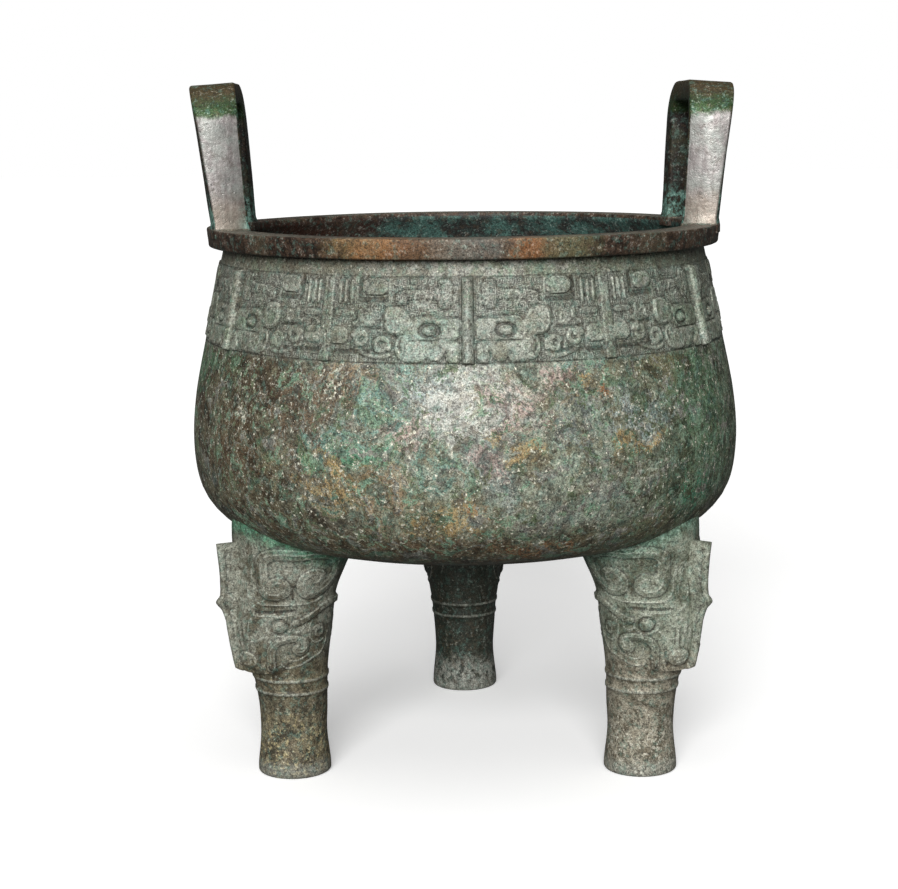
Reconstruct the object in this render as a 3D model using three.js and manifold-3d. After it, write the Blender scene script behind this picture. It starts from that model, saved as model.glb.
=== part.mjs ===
// A round bronze ding: a deep bowl on three legs, with two upright loop handles on its rim.
// It was poured in one piece, so it is one solid. Millimetres, +Z up.
// The origin is on the bowl's axis, level with the soles of the feet, and -Y is the front.

import * as THREE from "three";
import { mergeVertices } from "three/addons/utils/BufferGeometryUtils.js";
import Module from "manifold-3d";

// Overall sizes
const OVERALL_HEIGHT = 1019;
const BELLY_RADIUS = 414;
const BELLY_HEIGHT = 490; // level of the widest part
const BOTTOM_HEIGHT = 322; // underside of the bowl, at the middle
const WALL = 7;
const BOWL_SIDES = 48;
const BELLY_STEPS = 11; // facets up the outside of the belly
const INSIDE_STEPS = 6;

// Rim: a flat lip that stands out from the neck on both sides
const RIM_TOP = 806.5;
const RIM_FACE = 29;
const RIM_RADIUS = 386;
const RIM_LOWER_RADIUS = 383;
const MOUTH_RADIUS = 338;
const LIP_THICKNESS = 11; // at the mouth
const RIM_BEVEL = 1; // the rim's underside rises this much towards its outer edge
const LIP_SLOPE = 23; // the lip's underside drops this much from the mouth to the neck

// Neck: a plain cone, with the band of masks between these two levels
const BAND_BOTTOM = 640;
const BAND_TOP = 755;
const BAND_BOTTOM_RADIUS = 391.5;
const BAND_TOP_RADIUS = 366;
const NECK_TOP_RADIUS = 361;
const BAND_HEIGHT = BAND_TOP - BAND_BOTTOM;
const BAND_MEAN_RADIUS = (BAND_BOTTOM_RADIUS + BAND_TOP_RADIUS) / 2;

// Masks on the neck
const MASKS = 6;
const FRONT = -Math.PI / 2;
const MASK_RELIEF = 5;
const SUNK = 4; // how far a raised shape reaches down into the wall
const NECK_FLANGE_WIDTH = 15;
const NECK_FLANGE_RELIEF = 11;
const NECK_FLANGE_FOOT_RELIEF = 8;
const BAND_EDGE = 1; // flange crowns and dividers stop this far inside the band

// Handles: flat straps bent to an upright U, leaning outward and thicker at the top
const HANDLE_WIDTH = 222;
const HANDLE_STRAP = 30;
const HANDLE_CORNER = 42; // bend of the strap's middle line
const HANDLE_BEND_STEPS = 5;
const HANDLE_STATIONS = [45, 100]; // heights over the rim of the rings below the bend
const HANDLE_BASE_INNER = 334;
const HANDLE_BASE_OUTER = 385;
const HANDLE_TOP_INNER = 336;
const HANDLE_TOP_OUTER = 404;
const HANDLE_LEAN = THREE.MathUtils.degToRad(4);
const HANDLE_TURN = 2; // degrees that both handles sit round from the side
const HANDLE_CROWN = 3.5; // rise of the top's inner edge over the strap's own bend
const RIGHT_HANDLE_INWARD = 4; // its top stands this much nearer the axis than the left one's
const RIGHT_HANDLE_DROP = 2; // and is this much lower
const HANDLE_SUNK = 12; // how far its ends reach down into the rim
const HANDLE_TOP_CURVE = 0.25; // share of the rim's curve that is left at its top

// Legs
const LEG_CIRCLE = 301;
const LEG_TURNS = [90, 209.5, 328.5]; // degrees round the bowl
const LEG_SIDES = 18;
const LEG_TOP = 400;
const LEG_MASK_TWIST = THREE.MathUtils.degToRad(-3.5);
const LEG_MEAN_RADIUS = 68; // arc lengths on the leg's mask are measured at this radius
const LEG_LEAN_OUT = 7; // how far the middle of the leg bulges outward
const LEG_LEAN_IN = 6; // and its top stands inward
const LEG_BULGE_HEIGHTS = [90, 200]; // the bulge starts and is full at these levels
const LEG_RETURN_HEIGHTS = [270, 350]; // it goes over to the inward top between these
const SNOUT_HEIGHT = 17;
const SNOUT_BOTTOM = 163;
const SNOUT_FADE_HEIGHTS = [215, 315];
const SNOUT_FADE_ANGLES = [0.1, 0.95]; // radians to either side of the flange
const LEG_RELIEF = 3.5;
const LEG_FLANGE_THICKNESS = 11;
const CORD_HEIGHTS = [130, 150]; // two raised cords round each leg
const CORD_RELIEF = 1.8;
const CORD_HALF_WIDTH = 4;

const wasm = await Module();
wasm.setup();

const bronze = new THREE.MeshStandardMaterial({
  color: 0x6b6d58,
  roughness: 0.62,
  metalness: 0.55,
});

const { lerp, smoothstep } = THREE.MathUtils;

// Joining

function toManifold(geometry) {
  const bare = geometry.clone();
  bare.deleteAttribute("normal");
  bare.deleteAttribute("uv");
  const welded = mergeVertices(bare, 1e-4);
  return new wasm.Manifold(
    new wasm.Mesh({
      numProp: 3,
      vertProperties: new Float32Array(welded.attributes.position.array),
      triVerts: new Uint32Array(welded.index.array),
    }),
  );
}

function toGeometry(manifold) {
  const { vertProperties, triVerts } = manifold.getMesh();
  const geometry = new THREE.BufferGeometry();
  geometry.setAttribute("position", new THREE.BufferAttribute(vertProperties, 3));
  geometry.setIndex(new THREE.BufferAttribute(triVerts, 1));
  geometry.computeVertexNormals();
  return geometry;
}

// A closed skin through equal rings of points, with a flat cap at each end.
function skin(rings) {
  const size = rings[0].length;
  const points = rings.flat();
  const faces = [];
  for (let ring = 0; ring + 1 < rings.length; ring += 1) {
    for (let side = 0; side < size; side += 1) {
      const a = ring * size + side;
      const b = ring * size + ((side + 1) % size);
      faces.push(a, b, b + size, a, b + size, a + size);
    }
  }
  const last = (rings.length - 1) * size;
  for (let side = 1; side + 1 < size; side += 1) {
    faces.push(0, side + 1, side);
    faces.push(last, last + side, last + side + 1);
  }
  const geometry = new THREE.BufferGeometry().setFromPoints(points);
  geometry.setIndex(faces);
  return geometry;
}

// A flat outline made thick and laid on a curved surface by place(across, up, out).
function raised(outline, relief, place) {
  const slab = new THREE.ExtrudeGeometry(new THREE.Shape(outline), {
    depth: SUNK + relief,
    bevelEnabled: false,
  });
  const points = slab.attributes.position;
  for (let i = 0; i < points.count; i += 1) {
    const point = place(points.getX(i), points.getY(i), points.getZ(i) - SUNK);
    points.setXYZ(i, point.x, point.y, point.z);
  }
  return toManifold(slab);
}

function around(radius, angle, z) {
  return new THREE.Vector3(radius * Math.cos(angle), radius * Math.sin(angle), z);
}

// Outlines

const outlineOf = (pairs) => pairs.map(([across, up]) => new THREE.Vector2(across, up));

function mirrored(outline) {
  return outline.map((point) => new THREE.Vector2(-point.x, point.y)).reverse();
}

function box(left, right, low, high) {
  return outlineOf([[left, low], [right, low], [right, high], [left, high]]);
}

function oval(across, up, halfWidth, halfHeight, sides) {
  return Array.from({ length: sides }, (_, side) => {
    const turn = (side / sides) * 2 * Math.PI;
    return new THREE.Vector2(
      across + halfWidth * Math.cos(turn),
      up + halfHeight * Math.sin(turn),
    );
  });
}

// A band of even width along a curve through the given points.
function ribbon(pairs, width, steps) {
  const curve = new THREE.SplineCurve(outlineOf(pairs));
  const left = [];
  const right = [];
  for (let step = 0; step <= steps; step += 1) {
    const along = step / steps;
    const tangent = curve.getTangent(along);
    const normal = new THREE.Vector2(-tangent.y, tangent.x).multiplyScalar(width / 2);
    const middle = curve.getPoint(along);
    left.push(middle.clone().add(normal));
    right.push(middle.clone().sub(normal));
  }
  return [...right, ...left.reverse()];
}

// Bowl and rim

const bellyCurve = new THREE.SplineCurve(
  outlineOf([
    [0, BOTTOM_HEIGHT],
    [180, 327],
    [290, 342],
    [350, 362],
    [386, 390],
    [407, 430],
    [BELLY_RADIUS, BELLY_HEIGHT],
    [408, 560],
    [BAND_BOTTOM_RADIUS, BAND_BOTTOM],
  ]),
);

// The belly's outline from the middle of the bottom up to the neck, moved inward by depth.
function bellyOutline(depth, steps) {
  const points = [];
  for (let step = 0; step <= steps; step += 1) {
    const along = step / steps;
    const tangent = bellyCurve.getTangent(along);
    const point = bellyCurve.getPoint(along);
    points.push(new THREE.Vector2(point.x - tangent.y * depth, point.y + tangent.x * depth));
  }
  points[0].x = 0;
  return points;
}

function neckRadius(z) {
  const up = (z - BAND_BOTTOM) / BAND_HEIGHT;
  return lerp(BAND_BOTTOM_RADIUS, BAND_TOP_RADIUS, up);
}

function bowl() {
  const neckTop = RIM_TOP - RIM_FACE;
  const outside = [
    ...bellyOutline(0, BELLY_STEPS),
    new THREE.Vector2(BAND_TOP_RADIUS, BAND_TOP),
    new THREE.Vector2(NECK_TOP_RADIUS, neckTop),
  ];
  const rim = outlineOf([
    [RIM_LOWER_RADIUS, neckTop + RIM_BEVEL],
    [RIM_RADIUS, RIM_TOP],
    [MOUTH_RADIUS, RIM_TOP],
    [MOUTH_RADIUS, RIM_TOP - LIP_THICKNESS],
    [NECK_TOP_RADIUS - WALL, RIM_TOP - LIP_THICKNESS - LIP_SLOPE],
  ]);
  const inside = bellyOutline(WALL, INSIDE_STEPS).reverse();
  return toManifold(new THREE.LatheGeometry([...outside, ...rim, ...inside], BOWL_SIDES)
    .rotateX(Math.PI / 2));
}

// A solid that fills the bowl up to the middle of its wall: it keeps the legs out of the inside.
function filling() {
  const outline = bellyOutline(WALL / 2, BELLY_STEPS);
  outline.push(new THREE.Vector2(0, BAND_BOTTOM));
  return toManifold(new THREE.LatheGeometry(outline, BOWL_SIDES).rotateX(Math.PI / 2));
}

// Handles

// Stations along the strap's middle line, from one end up and over to the other end:
// sideways offset, height over the rim, and the strap's direction across its thickness.
function handleStations() {
  const side = (HANDLE_WIDTH - HANDLE_STRAP) / 2;
  const top = OVERALL_HEIGHT - RIM_TOP - HANDLE_STRAP / 2 - HANDLE_CROWN;
  const shoulder = top - HANDLE_CORNER;
  const stations = [-HANDLE_SUNK, ...HANDLE_STATIONS].map((height) => [-side, height, Math.PI]);
  for (let bend = 0; bend <= HANDLE_BEND_STEPS; bend += 1) {
    const turn = Math.PI - (bend / HANDLE_BEND_STEPS) * (Math.PI / 2);
    stations.push([
      -side + HANDLE_CORNER + HANDLE_CORNER * Math.cos(turn),
      shoulder + HANDLE_CORNER * Math.sin(turn),
      turn,
    ]);
  }
  const across = stations.map(([offset, height, turn]) => [-offset, height, Math.PI - turn]);
  return [...stations, ...across.reverse()];
}

function handlePoint(offset, height, share, inward, drop) {
  const rise = THREE.MathUtils.clamp(height / (OVERALL_HEIGHT - RIM_TOP), 0, 1);
  const inner = lerp(HANDLE_BASE_INNER, HANDLE_TOP_INNER - inward, rise);
  const outer = lerp(HANDLE_BASE_OUTER, HANDLE_TOP_OUTER - inward, rise);
  const radius = lerp(inner, outer, share);
  const slope = (radius - inner) * Math.tan(HANDLE_LEAN);
  const z = RIM_TOP + height + (HANDLE_CROWN - slope - drop) * rise;
  const bent = around(radius, offset / HANDLE_BASE_INNER, z);
  const straight = new THREE.Vector3(radius, offset, z);
  return straight.lerp(bent, lerp(1, HANDLE_TOP_CURVE, rise));
}

function handle(inward, drop) {
  const rings = handleStations().map(([offset, height, turn]) => {
    const half = HANDLE_STRAP / 2;
    return [[0, -1], [1, -1], [1, 1], [0, 1]].map(([share, way]) => handlePoint(
      offset + way * half * Math.cos(turn),
      height + way * half * Math.sin(turn),
      share,
      inward,
      drop,
    ));
  });
  return toManifold(skin(rings.reverse()));
}

// Legs

const legRadiusCurve = new THREE.SplineCurve(
  outlineOf([
    [0, 54],
    [14, 54],
    [60, 49.5],
    [95, 50.5],
    [140, 54],
    [165, 57.5],
    [205, 64],
    [270, 72],
    [315, 82],
    [350, 90],
    [LEG_TOP, 89],
  ]),
);

function legRadiusAt(z) {
  const halvings = 24;
  let low = 0;
  let high = 1;
  for (let halving = 0; halving < halvings; halving += 1) {
    const middle = (low + high) / 2;
    if (legRadiusCurve.getPoint(middle).x < z) {
      low = middle;
    } else {
      high = middle;
    }
  }
  return legRadiusCurve.getPoint(low).y;
}

// Distance from the leg's axis to its surface; turn is measured from the leg's outward side.
function legSurface(turn, z) {
  const aside = Math.acos(Math.cos(turn));
  const lean = lerp(LEG_LEAN_OUT, -LEG_LEAN_IN, smoothstep(z, ...LEG_RETURN_HEIGHTS));
  const outward = lean * smoothstep(z, ...LEG_BULGE_HEIGHTS) * Math.cos(turn);
  const snoutHeight = z > SNOUT_BOTTOM
    ? SNOUT_HEIGHT * (1 - smoothstep(z, ...SNOUT_FADE_HEIGHTS))
    : 0;
  const snoutShare = 1 - smoothstep(aside, ...SNOUT_FADE_ANGLES);
  return legRadiusAt(z) + outward + snoutHeight * snoutShare;
}

// Rings from the sole up: the shaft, the two cords, the step of the snout and the mask.
function legCore() {
  const [lowCord, highCord] = CORD_HEIGHTS;
  const shaft = [0, 14, 60, 100, lowCord - CORD_HALF_WIDTH];
  const step = [highCord + CORD_HALF_WIDTH, SNOUT_BOTTOM - 1, SNOUT_BOTTOM + 0.5];
  const upper = [205, 275, 312, 350, LEG_TOP];
  const levels = [
    ...shaft.map((z) => [z, 0]),
    [lowCord, CORD_RELIEF],
    [(lowCord + highCord) / 2, 0],
    [highCord, CORD_RELIEF],
    ...[...step, ...upper].map((z) => [z, 0]),
  ];
  return toManifold(skin(levels.map(([z, cord]) =>
    Array.from({ length: LEG_SIDES }, (_, side) => {
      const turn = (side / LEG_SIDES) * 2 * Math.PI;
      return around(legSurface(turn, z) + cord, turn, z);
    }),
  )));
}

function onLeg(across, up, out) {
  const turn = across / LEG_MEAN_RADIUS;
  return around(legSurface(turn, up) + out, turn, up);
}

// The toothed flange that stands on the snout, drawn as distance out and height.
function legFlange() {
  const outline = outlineOf([
    [60, 170],
    [80, 163],
    [90, 166],
    [98, 206],
    [103, 240],
    [109, 257],
    [118, 269],
    [111, 278],
    [110, 305],
    [112, 332],
    [115, 357],
    [60, 357],
  ]);
  const half = LEG_FLANGE_THICKNESS / 2;
  const plate = new THREE.ExtrudeGeometry(new THREE.Shape(outline), {
    depth: LEG_FLANGE_THICKNESS,
    bevelEnabled: false,
  });
  return toManifold(plate.translate(0, 0, -half).rotateX(Math.PI / 2));
}

// One side of the leg's mask, drawn as arc length from the flange and height.
function legMaskSide() {
  const hornWidth = 13;
  const hornSteps = 8;
  const hornMiddle = [
    [78, 303], [68, 291], [52, 296], [50, 330], [76, 347], [110, 344],
    [136, 322], [122, 291], [102, 292], [108, 314],
  ];
  const horn = ribbon(hornMiddle, hornWidth, hornSteps);
  const eye = oval(63, 238, 11, 10, 7);
  const ear = outlineOf([[104, 246], [128, 267], [178, 270], [180, 258], [128, 248]]);
  const jawWidth = 9;
  const jawSteps = 4;
  const jaw = ribbon([[60, 178], [58, 203], [80, 214], [97, 203]], jawWidth, jawSteps);
  const nostril = oval(24, 184, 11, 11, 6);
  return [horn, eye, ear, jaw, nostril];
}

function leg() {
  const shapes = legMaskSide();
  const mask = [...shapes, ...shapes.map(mirrored)].map((outline) =>
    raised(outline, LEG_RELIEF, onLeg));
  return wasm.Manifold.union([legFlange(), ...mask])
    .rotate([0, 0, THREE.MathUtils.radToDeg(LEG_MASK_TWIST)])
    .add(legCore())
    .translate([LEG_CIRCLE, 0, 0]);
}

// Masks on the neck

// One side of a mask, drawn as arc length from its flange and height over the band's foot.
function neckMaskSide() {
  const eye = oval(51, 44, 11, 8, 6);
  const ear = outlineOf([[74, 48], [94, 39], [113, 50], [114, 74], [78, 74]]);
  const jaw = outlineOf([[58, 5], [80, 3], [97, 17], [91, 34], [78, 31]]);
  const horn = outlineOf([
    [22, 74], [38, 74], [38, 87], [82, 87], [82, 77], [97, 77], [97, 98], [38, 98],
    [38, 111], [22, 111],
  ]);
  const plume = box(110, 144, 90, 112);
  return [eye, ear, jaw, horn, plume];
}

function onNeck(centre) {
  return (across, up, out) => {
    const z = BAND_BOTTOM + up;
    return around(neckRadius(z) + out, centre + across / BAND_MEAN_RADIUS, z);
  };
}

function neckMask(index) {
  const centre = FRONT + (index / MASKS) * 2 * Math.PI;
  const half = NECK_FLANGE_WIDTH / 2;
  const flangeFoot = box(-half, half, 0, BAND_HEIGHT);
  const crownTop = BAND_HEIGHT - BAND_EDGE;
  const flangeCrown = box(-half / 2, half / 2, BAND_EDGE, crownTop);
  const halfSpacing = (Math.PI * BAND_MEAN_RADIUS) / MASKS; // from a mask's middle to its end
  const divider = box(halfSpacing - half, halfSpacing + half, BAND_EDGE, crownTop);
  const shapes = neckMaskSide();
  return [
    raised(flangeFoot, NECK_FLANGE_FOOT_RELIEF, onNeck(centre)),
    raised(flangeCrown, NECK_FLANGE_RELIEF, onNeck(centre)),
    ...[...shapes, ...shapes.map(mirrored), divider].map((outline) =>
      raised(outline, MASK_RELIEF, onNeck(centre))),
  ];
}

// The whole casting

const legs = LEG_TURNS.map((turn) => leg().rotate([0, 0, turn]));
const masks = Array.from({ length: MASKS }, (_, index) => neckMask(index)).flat();
const handles = [
  handle(RIGHT_HANDLE_INWARD, RIGHT_HANDLE_DROP).rotate([0, 0, HANDLE_TURN]),
  handle(0, 0).rotate([0, 0, HANDLE_TURN + 180]),
];
const casting = wasm.Manifold.union([
  bowl(),
  wasm.Manifold.union(legs).subtract(filling()),
  ...handles,
  ...masks,
]);

const ding = new THREE.Mesh(toGeometry(casting), bronze);
ding.name = "ding";

const group = new THREE.Group();
group.name = "bronze_ding_vessel";
group.add(ding);

export default group;
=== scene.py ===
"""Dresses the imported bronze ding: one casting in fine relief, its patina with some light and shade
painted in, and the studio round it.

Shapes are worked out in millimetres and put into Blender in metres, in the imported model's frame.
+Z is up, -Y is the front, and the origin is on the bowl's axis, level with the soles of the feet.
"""

import math

import bpy
import numpy as np
from mathutils import Matrix, Vector


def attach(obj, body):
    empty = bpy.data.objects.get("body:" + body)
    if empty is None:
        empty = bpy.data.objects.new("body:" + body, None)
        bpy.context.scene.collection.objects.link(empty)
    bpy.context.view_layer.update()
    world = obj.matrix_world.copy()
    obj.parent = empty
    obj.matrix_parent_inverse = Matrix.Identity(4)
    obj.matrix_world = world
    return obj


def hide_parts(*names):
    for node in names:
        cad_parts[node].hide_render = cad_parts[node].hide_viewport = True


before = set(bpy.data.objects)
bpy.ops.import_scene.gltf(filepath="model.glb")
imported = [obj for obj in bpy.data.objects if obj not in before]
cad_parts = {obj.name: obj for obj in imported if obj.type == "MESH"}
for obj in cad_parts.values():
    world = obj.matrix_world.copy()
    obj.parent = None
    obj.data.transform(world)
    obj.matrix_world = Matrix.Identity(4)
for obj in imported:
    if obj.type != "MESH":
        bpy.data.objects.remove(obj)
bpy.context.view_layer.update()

MM = 0.001
FULL_TURN = 2 * math.pi
FRONT = -math.pi / 2
FAR = 40.0  # distances on the surface are kept no longer than this, in millimetres
SHARP_ANGLE = math.radians(50)  # edges that turn more than this are shaded as creases

# ---------------------------------------------------------------- sizes, as in the solid

OVERALL_HEIGHT = 1019
BELLY_LINE = [
    (0, 322), (180, 327), (290, 342), (350, 362), (386, 390),
    (407, 430), (414, 490), (408, 560), (391.5, 640),
]
WALL = 7
RIM_TOP = 806.5
RIM_FACE = 29
RIM_RADIUS = 386
RIM_LOWER_RADIUS = 383
MOUTH_RADIUS = 338
LIP_THICKNESS = 11
BAND_BOTTOM = 640
BAND_TOP = 755
BAND_BOTTOM_RADIUS = 391.5
BAND_TOP_RADIUS = 366
NECK_TOP = RIM_TOP - RIM_FACE
NECK_TOP_RADIUS = 361
NECK_MIDDLE = 766
NECK_INSIDE = (750, 720, 690, 665)  # heights at which the neck's inside has its rings
LIP_SLOPE = 23  # the lip's underside slopes this far down to the neck's inside
BAND_HEIGHT = BAND_TOP - BAND_BOTTOM
BAND_MEAN_RADIUS = (BAND_BOTTOM_RADIUS + BAND_TOP_RADIUS) / 2
MASKS = 6
HALF_MASK = math.pi * BAND_MEAN_RADIUS / MASKS

HANDLE_WIDTH = 222
HANDLE_STRAP = 30
HANDLE_CORNER = 42
HANDLE_EDGE = 3.6  # how much of the strap's corners is rounded off
HANDLE_BASE = (334, 385)  # inner and outer radius
HANDLE_TOP = (336, 404)
HANDLE_LEAN = math.radians(4)
HANDLE_TURN = math.radians(2)
HANDLE_CROWN = 3.5
RIGHT_HANDLE_INWARD = 4
RIGHT_HANDLE_DROP = 2
HANDLE_SUNK = 12
HANDLE_TOP_CURVE = 0.25

LEG_CIRCLE = 301
LEG_AXIS_LINE = [
    (0, 54), (14, 54), (60, 49.5), (95, 50.5), (140, 54), (165, 57.5),
    (205, 64), (270, 72), (315, 82), (350, 90), (400, 89),
]
LEG_TURNS = (90, 209.5, 328.5)
LEG_LEAN_OUT = 7
LEG_LEAN_IN = 6
LEG_MASK_TWIST = math.radians(-3.5)
LEG_MEAN_RADIUS = 68
LEG_FLANGE_THICKNESS = 11
CORDS = (130, 150)
CORD_RISE = 1.8
CORD_HALF = 4.2

# ---------------------------------------------------------------- curves and distances


def smooth(x, low, high):
    share = np.clip((np.asarray(x, float) - low) / (high - low), 0, 1)
    return share * share * (3 - 2 * share)


def curve(points, shares):
    """Points on the smooth curve through points, at shares of its way from 0 to 1."""
    points = np.asarray(points, float)
    place = np.atleast_1d(np.asarray(shares, float)) * (len(points) - 1)
    start = np.minimum(place.astype(int), len(points) - 2)
    t = (place - start)[:, None]
    before = points[np.maximum(start - 1, 0)]
    here = points[start]
    there = points[start + 1]
    after = points[np.minimum(start + 2, len(points) - 1)]
    leave = (there - before) / 2
    arrive = (after - here) / 2
    cubic = 2 * here - 2 * there + leave + arrive
    square = -3 * here + 3 * there - 2 * leave - arrive
    return ((cubic * t + square) * t + leave) * t + here


def flowing(points, steps=6):
    """A curve through the points as short straight pieces."""
    return curve(points, np.linspace(0, 1, (len(points) - 1) * steps + 1))


def softened(outline, times=2):
    """A closed outline with its corners cut off, again and again."""
    outline = np.asarray(outline, float)
    for _ in range(times):
        after = np.roll(outline, -1, 0)
        outline = np.stack([outline * 0.78 + after * 0.22, outline * 0.22 + after * 0.78], 1)
        outline = outline.reshape(-1, 2)
    return outline


def spiral(x, y, outer, inner, turns, start=0.0, sense=1):
    share = np.linspace(0, 1, int(14 * turns) + 2)
    radius = outer + (inner - outer) * share
    angle = math.radians(start) + sense * share * turns * FULL_TURN
    return np.stack([x + radius * np.cos(angle), y + radius * np.sin(angle)], 1)


def ring_path(x, y, half_width, half_height, steps=20):
    angle = np.linspace(0, FULL_TURN, steps + 1)
    return np.stack([x + half_width * np.cos(angle), y + half_height * np.sin(angle)], 1)


def distance_to(x, y, path):
    """Distance from each (x, y) to the path, which is a row of points."""
    best = np.full(x.shape, FAR)
    path = np.asarray(path, float)
    low = path.min(0) - FAR
    high = path.max(0) + FAR
    near = (x > low[0]) & (x < high[0]) & (y > low[1]) & (y < high[1])
    px = x[near]
    py = y[near]
    found = np.full(px.shape, FAR)
    for (ax, ay), (bx, by) in zip(path[:-1], path[1:]):
        dx = bx - ax
        dy = by - ay
        along = np.clip(((px - ax) * dx + (py - ay) * dy) / max(dx * dx + dy * dy, 1e-9), 0, 1)
        found = np.minimum(found, np.hypot(px - ax - along * dx, py - ay - along * dy))
    best[near] = found
    return best


def depth_inside(x, y, outline):
    """Distance to a closed outline: more than nothing inside it, and less outside."""
    outline = np.asarray(outline, float)
    closed = np.concatenate([outline, outline[:1]])
    distance = distance_to(x, y, closed)
    inside = np.zeros(x.shape, bool)
    for (ax, ay), (bx, by) in zip(closed[:-1], closed[1:]):
        crosses = (ay > y) != (by > y)
        with np.errstate(divide="ignore", invalid="ignore"):
            at = ax + (y - ay) * (bx - ax) / (by - ay)
        inside ^= crosses & (x < at)
    return np.where(inside, distance, -distance)


def waver(points, scale, seed):
    """A smooth unevenness from -1 to 1 at points in space, for hand-made lines and surfaces."""
    generator = np.random.default_rng(seed)
    total = np.zeros(points.shape[:-1])
    for _ in range(6):
        heading = generator.normal(size=3)
        heading = heading / np.linalg.norm(heading)
        length = scale * generator.uniform(0.6, 1.7)
        phase = generator.uniform(0, FULL_TURN)
        total += np.sin(points @ heading * FULL_TURN / length + phase)
    return total / 6


# ---------------------------------------------------------------- relief


class Relief:
    """A carved surface: its height, and distances to the edges and lines drawn on it."""

    def __init__(self, x, y):
        self.x = x
        self.y = y
        self.height = np.zeros(x.shape)
        self.edge = np.full(x.shape, -FAR)  # depth inside the nearest raised form
        self.groove = np.full(x.shape, FAR)
        self.thread = np.full(x.shape, FAR)
        self.ground = np.ones(x.shape)  # 1 where the fine scroll ground shows

    def plate(self, depth, height, slope=2.4, plain=1.0):
        """Raises what lies inside; depth is from depth_inside. plain 1 clears the scroll ground."""
        rise = smooth(depth, -slope / 2, slope / 2)
        self.height = np.maximum(self.height, height * rise)
        self.edge = np.maximum(self.edge, depth)
        self.ground = np.minimum(self.ground, 1 - plain * smooth(depth, -2.5, 0))

    def shape(self, outline, height, slope=2.4, plain=1.0, soft=2):
        self.plate(depth_inside(self.x, self.y, softened(outline, soft)), height, slope, plain)

    def ribbon(self, path, half_width, height, slope=2.4, plain=1.0):
        self.plate(half_width - distance_to(self.x, self.y, path), height, slope, plain)

    def cut(self, path, half_width=1.3, depth=1.4):
        distance = distance_to(self.x, self.y, path)
        self.height -= depth * (1 - smooth(distance, half_width * 0.4, half_width + 1.2))
        self.groove = np.minimum(self.groove, distance - half_width + 1)
        self.ground = np.minimum(self.ground, smooth(distance, half_width, half_width + 2))

    def line(self, path, half_width=1.1, height=1.0):
        distance = distance_to(self.x, self.y, path)
        self.height += height * (1 - smooth(distance, half_width * 0.5, half_width + 1.3))
        self.thread = np.minimum(self.thread, distance - half_width + 1)
        self.ground = np.minimum(self.ground, smooth(distance, half_width, half_width + 2))

    def dome(self, x, y, half_width, half_height, height):
        away = np.hypot((self.x - x) / half_width, (self.y - y) / half_height)
        self.height += height * np.sqrt(np.clip(1 - away * away, 0, 1))
        depth = (1 - away) * min(half_width, half_height)
        self.edge = np.maximum(self.edge, depth)
        self.ground = np.minimum(self.ground, smooth(away, 1.0, 1.3))


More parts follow.
